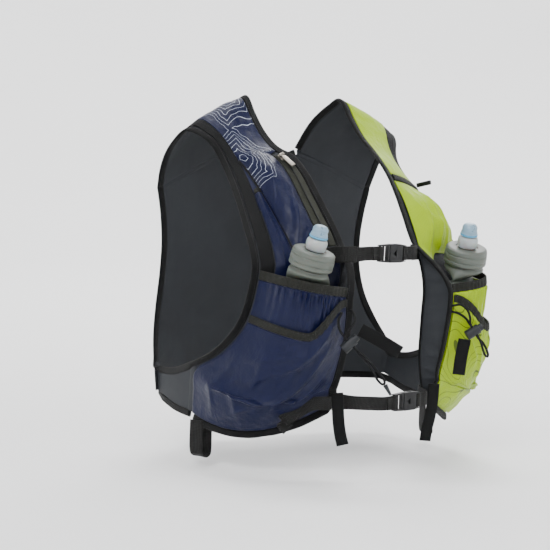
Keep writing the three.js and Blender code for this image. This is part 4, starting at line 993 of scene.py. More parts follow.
# Pieces
SIDES = ((-1, "right"), (1, "left"))
POCKET_COLUMN = (0.004, 0.985)
BINDING_SHIFT = GAP * 2 + BINDING_WIDTH / 2
GUSSET_BINDING_WIDTH = 3.4
UPRIGHT = np.array([0.0, 0.0, 1.0])
TOOTH_PITCH, TOOTH_SIZE = 0.0017, (0.0036, 0.0009, 0.0017)
STITCH_WIDTH, STITCH_STANDOUT = 0.00042, 0.00034


def shell_slot(side):
    return "shell_navy" if side < 0 else "shell_lime"


def add_panels():
    for side, name in SIDES:
        u, v = lattice((0, 1), (0.03, HEM), 36, 200)
        soft = 0.5 * rumple(u * 5, v * 0.8, 11) * np.sin(np.pi * u) * sizes().crease_depth
        chest = mirrored(on_panel(u, v, CLOTH + soft), side)
        t, v = lattice((0, 1), (GUSSET_FROM, GUSSET_TO), 16, 90)
        chord = unit(across(v))
        height = mix(0.0, edge_lift(v) - POCKET_CLOTH / 2 - GAP, t)
        middle = np.sin(np.pi * t)
        pleat = 0.7 * np.sin(v * 9 + t * 2) * middle + 0.5 * rumple(t * 3, v * 1.5, 4) * middle
        inset = GUSSET_INSET - POCKET_CLOTH - np.maximum(pleat, -0.4)
        wall = on_panel(0.0, v, height) + chord * inset[..., None]
        normal = unit(np.cross(np.gradient(wall, axis=1), np.gradient(wall, axis=0)))
        turn = (normal * chord).sum() > 0
        gusset = mirrored(wall, side)
        gusset_part = shell(gusset, POCKET_CLOTH, flip=turn if side > 0 else not turn)
        cloth("front panel " + name, chest, CLOTH, base_cloth(), "base", ["front_panel_" + name],
              [gusset_part])
        u, v = lattice((MESH_START, 0.985), (0.3, POUCH_END - 0.35), 10, 150)
        cloth("mesh band " + name, mirrored(on_panel(u, v, SEAT + 1), side), 1.0, mesh_cloth(), "mesh",
              ["mesh_band_" + name])
    s, v = lattice((-1, 1), (0, BACK_HEM), 90, 110)
    back = on_back(s, v, np.full(s.shape, CLOTH) + 0.6 * rumple(s * 5, v * 1.2, 21) * (1 - s ** 4))
    extra = []
    for side in (-1, 1):
        s, t = lattice((0.02, 1.06), (0, 1), 24, 18)
        extra.append(shell(mirrored(on_side(s, t, CLOTH), side), CLOTH))
        s = np.linspace(NECK_SHARE * 0.98, 1, 60)
        yoke = on_back(s, np.zeros(60), np.full(60, CLOTH / 2)) + np.array([0, 0, 1.0])
        lie = unit(on_back(s, np.full(60, 0.3)) - on_back(s, np.zeros(60)))
        extra.append(swept(mirrored(yoke, side), mirrored(lie, side), section(9, 2.6, 16, 3.0)))
        w = np.linspace(5.55, BACK_HEM, 30)
        join = on_back(np.ones(30), w, np.full(30, CLOTH / 2))
        lie = unit(join - on_back(np.full(30, 0.95), w, np.full(30, CLOTH / 2)))
        extra.append(swept(mirrored(join, side), mirrored(lie, side), section(13, 2.4, 16, 3.0)))
        t = np.linspace(-0.1, 1.0, 30)
        seam = on_side(0.0, t, CLOTH / 2)
        lie = unit(on_side(0.1, t) - on_side(0.0, t))
        extra.append(swept(mirrored(seam, side), mirrored(lie, side), section(9, 2.6, 16, 3.0)))
    cloth("back panel", back, CLOTH, base_cloth(), "base", ["back_panel"], extra)


def edge_way(chord, turn):
    """Outward across an edge, turned from the chord towards straight down."""
    return unit(-unit(chord) * np.cos(turn)[:, None] - UPRIGHT * np.sin(turn)[:, None])


def add_bindings():
    for side, name in SIDES:
        v = np.concatenate([np.linspace(0.12, HEM - 0.85, 150), np.linspace(HEM - 0.8, HEM, 8)])
        turn = np.pi / 4 * smooth((v - HEM + 0.8) / 0.8)
        out = edge_way(across(v), turn)
        at = on_panel(0.0, v, edge_lift(v))
        u = np.linspace(0.06, 0.97, 40)
        turn = np.pi / 4 * smooth((u - 0.05) / 0.2) + np.pi / 4
        hem_out = edge_way(across(HEM)[None], turn)
        at = np.concatenate([at, on_panel(u, float(HEM), edge_lift(HEM))])
        out = np.concatenate([out, hem_out])
        step = np.arange(len(at))
        wave = 0.35 * np.sin(step * 0.7) * rumple(step * 0.13, np.zeros(len(at)), 8)
        path = mirrored(at + out * BINDING_SHIFT, side) + UPRIGHT * wave[:, None]
        part = swept(path, mirrored(out, side), section(BINDING_WIDTH + 2.8, BINDING_THICKNESS, 20, 3.0))
        one_part("front binding " + name, part, binding_tape(), "binding", "binding_front_" + name)
        v = np.linspace(0.05, 17.7, 150)
        out = unit(across(v))
        at = on_panel(1.0, v, CLOTH / 2 + GAP)
        s = np.array([0.28, 0.54, 0.8])
        side_at = on_side(s, 0.0, CLOTH / 2)
        up_z = np.broadcast_to(UPRIGHT, (3, 3))
        v = np.array([5.75, 5.25, 4.375, 3.5, 2.625, 1.75, 0.875, 0.12])
        back_at = on_back(np.ones(len(v)), v, np.full(len(v), CLOTH / 2))
        flat = np.zeros(len(v))
        back_out = unit(on_back(flat + 1, v, flat) - on_back(flat + 0.97, v, flat))
        points = np.concatenate([at[::6], at[-1:], side_at, back_at, at[:1]])
        outs = np.concatenate([out[::6], out[-1:], up_z, back_out, out[:1]])
        path = smooth_line(points + outs * BINDING_SHIFT, 6)
        way = smooth_line(outs, 6)
        shape = section(BINDING_WIDTH + 2.6, BINDING_THICKNESS * 0.85, 20, 3.0)
        part = swept(mirrored(path, side), mirrored(way, side), shape)
        one_part("armhole binding " + name, part, binding_tape(), "binding", "binding_armhole_" + name)
        v = np.linspace(GUSSET_FROM + 0.7, GUSSET_TO, 90)
        chord = unit(across(v))
        inset = GUSSET_INSET - POCKET_CLOTH - GAP - GUSSET_BINDING_WIDTH / 2
        path = on_panel(0.0, v, CLOTH / 2) + chord * inset
        shape = section(GUSSET_BINDING_WIDTH, 2.4, 16, 3.0)
        part = swept(mirrored(path, side), mirrored(chord, side), shape)
        one_part("gusset binding " + name, part, binding_tape(), "binding", "gusset_binding_" + name)
    s = np.linspace(-0.305, 0.305, 40)
    path = on_back(s, np.zeros(40), np.full(40, CLOTH / 2)) + UPRIGHT * BINDING_SHIFT
    part = swept(path, np.broadcast_to(UPRIGHT, path.shape), section(BINDING_WIDTH + 2.4, 3.6, 20, 3.0))
    one_part("neck binding", part, binding_tape(), "binding", "binding_neck")
    s = np.linspace(0.04, 0.8, 16)
    low = on_side(s, 1.0, CLOTH / 2)
    t = np.linspace(-0.97, 0.97, 60)
    middle = on_back(t, np.full(60, float(BACK_HEM)), np.full(60, CLOTH / 2))
    path = np.concatenate([mirrored(low, -1), middle, low[::-1]]) - UPRIGHT * BINDING_SHIFT
    part = swept(path, np.broadcast_to(UPRIGHT, path.shape), section(BINDING_WIDTH + 2.4, 3.6, 20, 3.0))
    one_part("hem binding", part, binding_tape(), "binding", "binding_hem")


def add_bottle_pockets():
    for side, name in SIDES:
        s, v = lattice((0, 1), (MOUTH, HEM), 180, 90)
        u = mix(*POCKET_COLUMN, s)
        fall = np.exp(-(v - MOUTH) / 0.55)
        tucks = 0.9 * np.sin(u * 95 + 1.5 * np.sin(u * 23))
        gather = (tucks + 0.6 * rumple(u * 22, v * 1.0, 5 + side)) * fall
        gather = np.maximum(gather, -0.5) * smooth((v - MOUTH) / 0.12) * np.sin(np.pi * s) ** 0.3
        ease = 0.7 * rumple(u * 5, v * 1.3, 31 + side) * np.sin(np.pi * s)
        folds = gather * 3.0 + 1.6 * ease * smooth((v - MOUTH) / 0.6)
        height = pocket_height(u, v) + sizes().crease_depth * folds
        cloth("bottle pocket " + name, mirrored(on_panel(u, v, height), side), POCKET_CLOTH,
              right_cloth() if side < 0 else left_cloth(), shell_slot(side), ["bottle_pocket_" + name])


def add_front_pockets():
    for side, name in SIDES:
        s, t = lattice((0, 1), (0, 1), 160, 150)
        u = mix(*POCKET_COLUMN, s)
        v = mix(lower_mouth(u), HEM - 0.04, t)
        fade = smooth(t / 0.05) * smooth((1 - t) / 0.06) * np.sin(np.pi * clamp(s)) ** 0.4
        if side < 0:
            folds = creases(u, v, [
                (0.12, 15.2, 0.75, 17.2, 0.035, 1.6), (0.10, 15.6, 0.6, 18.4, 0.04, 1.8),
                (0.06, 16.4, 0.42, 19.2, 0.035, 1.4), (0.35, 15.9, 0.9, 16.7, 0.03, 1.2),
                (0.5, 17.6, 0.92, 18.6, 0.05, 1.4), (0.2, 18.2, 0.8, 19.5, 0.03, 1.1),
                (0.75, 16.2, 0.6, 19.2, 0.04, 1.2), (0.9, 16.8, 0.8, 19.4, 0.03, 1.0)])
        else:
            folds = creases(u, v, [
                (0.1, 15.0, 0.3, 16.6, 0.025, 1.4), (0.22, 15.2, 0.45, 17.0, 0.025, 1.3),
                (0.5, 15.8, 0.62, 18.0, 0.03, 1.3), (0.7, 16.0, 0.5, 19.0, 0.03, 1.4),
                (0.1, 17.2, 0.7, 18.2, 0.03, 1.3), (0.15, 18.6, 0.85, 19.3, 0.025, 1.2),
                (0.8, 16.6, 0.9, 19.0, 0.03, 1.1)])
        small = 0.75 * rumple(u * 9, v * 2.0, 41 + side, 3)
        height = front_pocket_height(u, v) + sizes().crease_depth * fade * (folds * 2.6 + 1.2 * small)
        cloth("front pocket " + name, mirrored(on_panel(u, v, height), side), POCKET_CLOTH,
              right_cloth() if side < 0 else left_art_cloth(), shell_slot(side), ["front_pocket_" + name])


def band_along(name, side, u, v, height, rise_by, width, node, scallop=0.0):
    """Elastic along a line of the panel, with its middle raised along the cloth."""
    at = on_panel(u, v, height)
    rise = unit(on_panel(u, v - 0.3, height) - at)
    path = at + rise * rise_by
    if scallop:
        path = path + outward(v) * (scallop * np.sin(np.arange(len(u)) * 1.1))[:, None]
    shape = section(width, ELASTIC_THICKNESS + 0.4, 20, 4.0)
    part = swept(mirrored(path, side), mirrored(rise, side), shape)
    return one_part(name, part, elastic_band(), "elastic", node)


def add_elastic_bands():
    for side, name in SIDES:
        u = np.linspace(*POCKET_COLUMN, 110)
        v = np.full(u.shape, float(MOUTH))
        band_along("upper band " + name, side, u, v, pocket_height(u, v) - POCKET_CLOTH / 2,
                   GAP + UPPER_BAND_HEIGHT / 2, UPPER_BAND_HEIGHT, "upper_band_" + name, 0.25)
        v = lower_mouth(u)
        band_along("lower band " + name, side, u, v, front_pocket_height(u, v) - POCKET_CLOTH / 2,
                   GAP + LOWER_BAND_HEIGHT / 2, LOWER_BAND_HEIGHT, "lower_band_" + name, 0.2)


def add_pouches():
    s, v = lattice((0, 1), (0.1, POUCH_END), 90, 260)
    u = mix(neck_side_of_pouch(v), flap_edge(v), s)
    inside = np.sin(np.pi * s) ** 0.5 * smooth(v / 0.6) * smooth((POUCH_END - v) / 0.5)
    folds = creases(u, v, [
        (0.3, 6.6, 0.62, 9.2, 0.03, 0.9), (0.25, 8.4, 0.5, 11.4, 0.035, 1.0),
        (0.45, 5.6, 0.72, 7.6, 0.03, 0.8), (0.3, 10.6, 0.5, 12.6, 0.03, 0.9),
        (0.2, 3.0, 0.55, 4.4, 0.05, 0.6)])
    folds = folds * 1.8 + 0.8 * rumple(u * 6, v * 0.9, 51)
    height = right_pouch_height(u, v) + sizes().crease_depth * inside * folds
    cloth("chest pouch right", mirrored(on_panel(u, v, height), -1), POCKET_CLOTH, right_art_cloth(),
          "shell_navy", ["pouch_right"])

    s, v = lattice((0, 1), (STRETCH_TOP, POUCH_END), 50, 120)
    u = mix(flap_edge(v) + 0.012, MESH_START - 0.012, s)
    inside = np.sin(np.pi * s) ** 0.5 * smooth((POUCH_END - v) / 0.5)
    folds = creases(u, v, [(0.76, 8.7, 0.70, 12.6, 0.022, 1.8), (0.68, 9.4, 0.6, 13.0, 0.02, 1.0)])
    folds = folds + 0.4 * rumple(u * 8, v * 1.2, 61)
    height = stretch_height(u, v) + sizes().crease_depth * inside * folds
    s, w = lattice((0, 1), (6.5, 9.2), 20, 40)
    under = on_panel(mix(flap_edge(w) - 0.03, MESH_START + 0.005, s), w, LAYER_TOP - 0.4)
    cloth("stretch pocket right", mirrored(on_panel(u, v, height), -1), POCKET_CLOTH, right_cloth(),
          "shell_navy", ["stretch_pocket_right"], [shell(mirrored(under, -1), 1.0)])
    v = np.linspace(ZIP_TOP - 0.1, POUCH_END - 0.1, 110)
    edge_path = on_panel(flap_edge(v) + 0.004, v, right_pouch_height(flap_edge(v), v) + 0.1)
    piping = swept(mirrored(edge_path, -1), mirrored(unit(across(v)), -1), section(3.2, 1.6, 14, 2.6))
    one_part("flap piping right", piping, binding_tape(), "binding")
    v_rim = STRETCH_TOP - (GAP + STRETCH_RIM_WIDTH / 2) / row_length(STRETCH_TOP)
    u = np.linspace(flap_edge(v_rim) + 0.03, MESH_START - 0.012, 24)
    v = np.full(u.shape, v_rim)
    height = stretch_height(u, np.full(u.shape, STRETCH_TOP)) - POCKET_CLOTH / 2
    band_along("stretch pocket rim", -1, u, v, height, 0.0, STRETCH_RIM_WIDTH, "stretch_pocket_rim_right")

    half = LEFT_ZIP_BAND_WIDTH / 2 / row_length(LEFT_ZIP)
    cover = (ZIP_TAPE[0], MESH_START - 0.01)
    u, v = lattice(cover, (0.1, LEFT_ZIP - half - 0.03), 60, 140)
    soft = 0.35 * rumple(u * 5, v * 0.8, 71) * smooth(v) * smooth((LEFT_ZIP - half - v) / 0.5)
    cloth("shoulder cover left", on_panel(u, v, LAYER_TOP + np.maximum(soft, -0.2)), POCKET_CLOTH,
          left_cloth(), "shell_lime", ["shoulder_cover_left"])
    u, v = lattice(cover, (LEFT_ZIP - half, LEFT_ZIP + half), 60, 24)
    swell = LAYER_TOP + 1 + 0.6 * np.sin(np.pi * (v - LEFT_ZIP + half) / (2 * half))
    cloth("zip band left", on_panel(u, v, swell), POCKET_CLOTH + 1, binding_tape(), "mesh",
          ["zip_band_left"])
    s, t = lattice((0, 1), (0, 1), 110, 130)
    u = mix(*cover, s)
    v = mix(LEFT_POUCH_TOP, left_pouch_end(u), t)
    inside = np.sin(np.pi * s) ** 0.5 * smooth(t / 0.06) * smooth((1 - t) / 0.1)
    folds = creases(u, v, [
        (0.30, 8.8, 0.22, 11.6, 0.03, 1.5), (0.42, 8.8, 0.42, 12.0, 0.03, 1.6),
        (0.55, 8.8, 0.62, 12.0, 0.03, 1.4), (0.66, 8.9, 0.76, 11.4, 0.025, 1.2),
        (0.15, 9.6, 0.5, 11.2, 0.03, 1.1), (0.7, 11.9, 0.3, 12.6, 0.03, 0.9)])
    folds = folds * 1.7 + 0.9 * rumple(u * 7, v * 1.1, 81)
    height = left_pouch_height(u, v) + sizes().crease_depth * inside * folds
    cloth("chest pouch left", on_panel(u, v, height), POCKET_CLOTH, left_cloth(), "shell_lime",
          ["pouch_left"])


def add_zip():
    u, v = lattice(ZIP_TAPE, (ZIP_TOP, ZIP_END), 16, 90)
    cloth("zip tape right", mirrored(on_panel(u, v, LAYER_TOP), -1), POCKET_CLOTH, zip_tape(), "elastic",
          ["zip_right"])
    middle = sum(ZIP_TAPE) / 2
    v = np.linspace(ZIP_TOP + 0.55, ZIP_END - 0.1, 120)
    path = mirrored(on_panel(middle, v, LAYER_TOP + 0.9), -1)
    teeth = row_of_pieces("zip teeth", path, mirrored(outward(v), -1), TOOTH_PITCH, TOOTH_SIZE,
                          black_plastic(),
                          shape="box")
    finish_piece(teeth, "elastic")
    refined("zip slider", "zip_slider_right", 0.35, slider_metal(), "metal")
    refined("zip pull", "zip_pull_right", 0.35, slider_metal(), "metal", body="zip_pull")
    refined("zip puller left", "zip_puller_left", 1.0, black_plastic(), "plastic")


# Repeated pieces
def repeat_group():
    """Geometry nodes: a small solid at every step along a line, turned to the line and to its normals."""
    name = "small solids along a line"
    if name in bpy.data.node_groups:
        return bpy.data.node_groups[name]
    group = bpy.data.node_groups.new(name, "GeometryNodeTree")
    face = group.interface
    face.new_socket("Geometry", in_out="INPUT", socket_type="NodeSocketGeometry")
    for label, kind, value in (
            ("Spacing", "NodeSocketFloat", 0.0026), ("Size", "NodeSocketVector", (0.002, 0.0004, 0.0004)),
            ("Round", "NodeSocketBool", True), ("Unevenness", "NodeSocketFloat", 0.03),
            ("Seed", "NodeSocketInt", 7),
            ("Material", "NodeSocketMaterial", None)):
        made = face.new_socket(label, in_out="INPUT", socket_type=kind)
        if value is not None:
            made.default_value = value
    face.new_socket("Geometry", in_out="OUTPUT", socket_type="NodeSocketGeometry")
    nodes, links = group.nodes, group.links
    source, result = nodes.new("NodeGroupInput"), nodes.new("NodeGroupOutput")
    given = {item.name: source.outputs[k] for k, item in enumerate(
        s for s in face.items_tree if s.item_type == "SOCKET" and s.in_out == "INPUT")}
    curve = nodes.new("GeometryNodeMeshToCurve")
    links.new(given["Geometry"], curve.inputs["Mesh"])
    steps = nodes.new("GeometryNodeResampleCurve")
    steps.mode = "LENGTH"
    links.new(curve.outputs[0], steps.inputs["Curve"])
    links.new(given["Spacing"], steps.inputs["Length"])
    way = nodes.new("GeometryNodeInputTangent")
    facing = nodes.new("GeometryNodeInputNamedAttribute")
    facing.data_type = "FLOAT_VECTOR"
    facing.inputs["Name"].default_value = "facing"
    first = nodes.new("FunctionNodeAlignRotationToVector")
    first.axis = "X"
    links.new(way.outputs[0], first.inputs["Vector"])
    second = nodes.new("FunctionNodeAlignRotationToVector")
    second.axis = "Z"
    second.pivot_axis = "X"
    links.new(first.outputs[0], second.inputs["Rotation"])
    links.new(facing.outputs[0], second.inputs["Vector"])
    ball = nodes.new("GeometryNodeMeshUVSphere")
    ball.inputs["Segments"].default_value = 6
    ball.inputs["Rings"].default_value = 4
    ball.inputs["Radius"].default_value = 0.5
    block = nodes.new("GeometryNodeMeshCube")
    pick = nodes.new("GeometryNodeSwitch")
    pick.input_type = "GEOMETRY"
    links.new(given["Round"], pick.inputs[0])
    links.new(block.outputs[0], pick.inputs["False"])
    links.new(ball.outputs[0], pick.inputs["True"])
    uneven = nodes.new("FunctionNodeRandomValue")
    uneven.data_type = "FLOAT"
    links.new(given["Seed"], uneven.inputs["Seed"])
    low, high = nodes.new("ShaderNodeMath"), nodes.new("ShaderNodeMath")
    for maths, operation in ((low, "SUBTRACT"), (high, "ADD")):
        maths.operation = operation
        maths.inputs[0].default_value = 1.0
        links.new(given["Unevenness"], maths.inputs[1])
    floats = [s for s in uneven.inputs if s.type == "VALUE" and s.name in ("Min", "Max")]
    links.new(low.outputs[0], floats[0])
    links.new(high.outputs[0], floats[1])
    grown = nodes.new("ShaderNodeVectorMath")
    grown.operation = "SCALE"
    links.new(given["Size"], grown.inputs[0])
    value = next(s for s in uneven.outputs if s.type == "VALUE" and s.enabled)
    links.new(value, grown.inputs["Scale"])
    copies = nodes.new("GeometryNodeInstanceOnPoints")
    links.new(steps.outputs[0], copies.inputs["Points"])
    links.new(pick.outputs[0], copies.inputs["Instance"])
    links.new(second.outputs[0], copies.inputs["Rotation"])
    links.new(grown.outputs[0], copies.inputs["Scale"])
    real = nodes.new("GeometryNodeRealizeInstances")
    links.new(copies.outputs[0], real.inputs[0])
    paint = nodes.new("GeometryNodeSetMaterial")
    links.new(real.outputs[0], paint.inputs["Geometry"])
    links.new(given["Material"], paint.inputs["Material"])
    links.new(paint.outputs[0], result.inputs[0])
    return group


def row_of_pieces(name, path, facing, spacing, size, material, shape="round", seed=7):
    """One row of small solids: path in millimetres, facing the way each stands off the cloth."""
    mesh = bpy.data.meshes.new(name)
    edges = [(k, k + 1) for k in range(len(path) - 1)]
    mesh.from_pydata((path * MM).tolist(), edges, [])
    layer = mesh.attributes.new("facing", "FLOAT_VECTOR", "POINT")
    layer.data.foreach_set("vector", np.asarray(facing, np.float32).ravel())
    piece = bpy.data.objects.new(name.replace(" ", "_"), mesh)
    bpy.context.scene.collection.objects.link(piece)
    group = repeat_group()
    grow = piece.modifiers.new("row", "NODES")
    grow.node_group = group
    sockets = {s.name: s.identifier for s in group.interface.items_tree
               if s.item_type == "SOCKET" and s.in_out == "INPUT"}
    grow[sockets["Spacing"]] = float(spacing)
    grow[sockets["Size"]] = tuple(float(x) for x in size)
    grow[sockets["Round"]] = shape == "round"
    grow[sockets["Seed"]] = seed
    grow[sockets["Material"]] = material
    evaluated(piece)
    if not len(piece.data.polygons):
        raise RuntimeError(name + " came out empty")
    piece.data.polygons.foreach_set("use_smooth", [shape == "round"] * len(piece.data.polygons))
    return piece


def stitch_row(name, path, facing, material_slot, seed=7):
    size = (sizes().stitch_length, STITCH_WIDTH, STITCH_STANDOUT)
    row = row_of_pieces(name, path, facing, sizes().stitch_pitch, size, thread_dark(), seed=seed)
    return finish_piece(row, material_slot)


def stitch_band(name, side, u, v, height, offset, seed):
    """Stitches on an elastic band, an offset above its lower edge."""
    at = on_panel(u, v, height)
    rise = unit(on_panel(u, v - 0.3, height) - at)
    stitch_row(name, mirrored(at + rise * offset, side), mirrored(outward(v), side), "elastic", seed)


def add_stitches():
    for side, name in SIDES:
        u = np.linspace(*POCKET_COLUMN, 90)
        for label, offset in (("low", 1.6), ("high", UPPER_BAND_HEIGHT - 1.4)):
            v = np.full(u.shape, float(MOUTH))
            height = pocket_height(u, v) + 0.45
            stitch_band(f"upper band stitches {label} {name}", side, u, v, height, offset, 3)
            v = lower_mouth(u)
            height = front_pocket_height(u, v) + 0.45
            low = min(offset, LOWER_BAND_HEIGHT - 1.4)
            stitch_band(f"lower band stitches {label} {name}", side, u, v, height, low, 4)
        v = np.linspace(0.4, HEM - 1.0, 200)
        out = -unit(across(v))
        lift = outward(v) * (BINDING_THICKNESS / 2 + 0.02)
        path = on_panel(0.0, v, edge_lift(v)) + out * (GAP * 2 + 0.8) + lift
        stitch_row("front binding stitches " + name, mirrored(path, side), mirrored(outward(v), side),
                   "binding", 5)
        v = np.linspace(0.4, 17.4, 200)
        path = on_panel(1.0, v, CLOTH / 2 + GAP + 1.68) + unit(across(v)) * (GAP * 2 + 0.9)
        stitch_row("armhole binding stitches " + name, mirrored(path, side), mirrored(outward(v), side),
                   "binding", 6)
    v = np.linspace(ZIP_TOP + 0.1, POUCH_END - 0.2, 120)
    u = neck_side_of_pouch(v) + 0.02
    stitch_row("pouch stitches right", mirrored(on_panel(u, v, right_pouch_height(u, v) + 0.25), -1),
               mirrored(outward(v), -1), "shell_navy", 8)
    u = flap_edge(v) - 0.02
    stitch_row("flap stitches right", mirrored(on_panel(u, v, right_pouch_height(u, v) + 0.25), -1),
               mirrored(outward(v), -1), "shell_navy", 9)
    u = np.linspace(0.05, MESH_START - 0.04, 60)
    half = LEFT_ZIP_BAND_WIDTH / 2 / row_length(LEFT_ZIP)
    for label, v in (("above", LEFT_ZIP - half - 0.09), ("below", LEFT_POUCH_TOP + 0.05)):
        v = np.full(u.shape, v)
        height = left_pouch_height(u, v) if label == "below" else np.full(u.shape, LAYER_TOP)
        stitch_row("zip band stitches " + label, on_panel(u, v, height + 0.25), outward(v), "shell_lime",
                   10)


# Flasks
CAP_AT = (108.12, -183.32, -168.89)
CAP_WAY = (-0.08992, -0.24977, 0.96412)


def cap_frame(side):
    way = unit(np.array(CAP_WAY))
    x = unit(np.cross((0.0, 1, 0), way))
    found = frame_at(np.array(CAP_AT), x, np.cross(way, x), way)
    return np.diag([float(side), 1, 1, 1]) @ found


def lathe(name, side, profile, radius, material, material_slot, *nodes, body=BODY):
    """A piece turned about the cap's axis, with its corners rounded to a radius."""
    part = turned(rounded_profile(profile, radius), 72, cap_frame(side))
    piece = new_object(name, *merged([part]), material)
    return finish_piece(piece, material_slot, *nodes, body=body)


# Flask rows: place down the panel, share of the half width, share of the half depth
FLASK_ACROSS, FLASK_LIFT = 0.44, 3.0
FLASK_HALF_WIDTH, FLASK_HALF_DEPTH = 30, 19
FLASK_ROWS = [
    (18.9, 0.4, 0.16), (18.4, 0.72, 0.4), (17.5, 0.9, 0.64),
    (16.3, 0.97, 0.82), (15, 1, 0.94), (14.1, 0.87, 0.98)]
# Radius and height over the cap's foot
FLASK_NECK = [(22, -6), (19.5, -2.5), (19.5, -1.2), (17, -1.2)]
CAP_PROFILE = [
    (8.6, 0), (22.2, 0), (23.6, 1.2), (23.7, 4.4), (22.9, 5.0), (22.9, 5.9), (23.7, 6.5), (23.6, 11.6),
    (22.8, 12.2), (22.8, 13.1), (23.4, 13.7), (22.6, 17.6), (20.2, 18.9), (12.5, 19), (12, 18.1),
    (8.6, 18.1)]
SPOUT_PROFILE = [(3, 18.6), (9.6, 18.6), (10.4, 20.5), (11.3, 25), (11.1, 29), (9.6, 31.6), (3, 31.8)]
VALVE_PROFILE = [
    (0.01, 31.9), (7.4, 31.9), (9.2, 33.2), (9.2, 36.5), (8.2, 38.6), (8.4, 42.2), (6.6, 45.2), (3.0, 46.3),
    (0.01, 46.3)]
INSERT_PROFILE = [(9.15, 32.6), (9.75, 32.8), (9.8, 34.6), (9.15, 34.9)]
FLASK_SIDES = 64


def neck_ring(angle, radius, height, below):
    """A ring about the cap's axis that starts and turns like the ring below it."""
    cap = cap_frame(1)
    ring = np.stack([radius * np.cos(angle), radius * np.sin(angle), np.full(FLASK_SIDES, height)], -1)
    world = ring @ cap[:3, :3].T + cap[:3, 3]
    start = np.argmin(np.linalg.norm(world - below[0], axis=1))
    world = np.roll(world, -start, axis=0)
    quarter = FLASK_SIDES // 4
    if np.dot(world[quarter] - world[0], below[quarter] - below[0]) < 0:
        world = np.roll(world[::-1], 1, axis=0)
    return world


def flask_surface():
    """Rings of the flask from its foot to its neck, on the left half."""
    angle = np.linspace(0, 2 * np.pi, FLASK_SIDES, endpoint=False)
    rings = []
    for v, wide, deep in FLASK_ROWS:
        centre = on_panel(FLASK_ACROSS, v, FLASK_LIFT + FLASK_HALF_DEPTH * deep)
        rings.append(centre + unit(across(v))
                     * (bent(np.cos(angle), 0.95) * FLASK_HALF_WIDTH * wide)[:, None]
                     + outward(v) * (bent(np.sin(angle), 0.95) * FLASK_HALF_DEPTH * deep)[:, None])
    top = rings[-1]
    rings += [neck_ring(angle, radius, height, top) for radius, height in FLASK_NECK]
    stack = np.array(rings)
    return np.array([smooth_line(stack[:, k], 6) for k in range(FLASK_SIDES)]).transpose(1, 0, 2)


def add_flask_body(side, name):
    surface = flask_surface()
    n, m = surface.shape[:2]
    index = np.arange(n * m).reshape(n, m)
    beside = np.roll(index, -1, axis=1)
    faces = np.stack([index[:-1], index[1:], beside[1:], beside[:-1]], -1).reshape(-1, 4).tolist()
    faces += [index[0].tolist(), index[-1][::-1].tolist()]
    vertices = mirrored(surface.reshape(-1, 3), side)
    p = vertices[faces[len(faces) // 2][:3]]
    if np.dot(np.cross(p[1] - p[0], p[2] - p[0]), p[0] - vertices.mean(0)) < 0:
        faces = [face[::-1] for face in faces]
    body = new_object("flask " + name, vertices, faces, vertices[:, [0, 2]], flask_plastic())
    finish_piece(body, "flask", "flask_body_" + name)


def add_flasks():
    for side, name in SIDES:
        add_flask_body(side, name)
        cap = "flask_cap_" + name
        lathe("flask cap " + name, side, CAP_PROFILE, 0.6, flask_plastic(), "flask", cap, body=cap)
        lathe("flask spout " + name, side, SPOUT_PROFILE, 1.2, frosted_plastic(), "clear",
              "flask_valve_" + name)
        lathe("flask valve " + name, side, VALVE_PROFILE, 1.0, valve_plastic(), "clear")
        lathe("valve insert " + name, side, INSERT_PROFILE, 0.3, insert_plastic(), "clear")


# Straps, buckles and tabs
def buckle_frame(centre, x):
    x = unit(np.array(x, float))
    z = np.array([0.0, -1.0, 0.0])
    z = unit(z - x * np.dot(z, x))
    return frame_at(np.array(centre, float), x, np.cross(z, x), z)


BUCKLES = {
    "sternum": buckle_frame((-2, -188, -156), (1, 0.02, -0.01)),
    "waist": buckle_frame((21, -196, -317), (1, 0.03, 0.03)),
}
# The end of a strap round a buckle's bar: along the strap and out of the buckle
STRAP_LOOP = [(-31, -0.95), (-21, -0.95), (-19.6, -1.7), (-18.2, -2.3), (-15.8, -2.3), (-14.8, -1.3),
              (-14.8, 1.3),
              (-15.8, 2.3), (-18.2, 2.3), (-19.6, 1.7), (-21, 0.95), (-27, 0.95)]


def strap(which, side, node, label, lead, row, wide_for):
    """Webbing from its anchor on the panel, through the buckle's bar and back on itself."""
    buckle = BUCKLES[which]
    loop = np.array([buckle[:3, 3] + buckle[:3, 0] * x * -side + buckle[:3, 2] * z for x, z in STRAP_LOOP])
    up = unit(on_panel(0.1, row - 0.3) - on_panel(0.1, row + 0.3))
    up = mirrored(up, side)
    target = buckle[:3, 1]
    if np.dot(up, target) < 0:
        target = -target
    lead = np.array(lead, float)
    points = np.concatenate([lead, loop])
    share = np.clip(np.arange(len(points)) / max(len(lead) - 1, 1), 0, 1)[:, None]
    ways = unit(mix(up[None], target[None], share))
    widths = np.where(np.arange(len(points)) < wide_for, ANCHOR_WIDTH / WEBBING_WIDTH, 1.0)
    widths = np.repeat(widths, 6)[: (len(points) - 1) * 6 + 1]
    path, way = smooth_line(points, 6), smooth_line(ways, 6)
    widths = np.convolve(np.pad(widths, 4, mode="edge"), np.ones(9) / 9, mode="valid")[:len(path)]
    part = swept(path, way, section(WEBBING_WIDTH, WEBBING_THICKNESS, 20, 5.0), widths)
    one_part(label, part, strap_webbing(), "webbing", node)


def right_point(u, v, height):
    return mirrored(on_panel(u, v, height), -1)


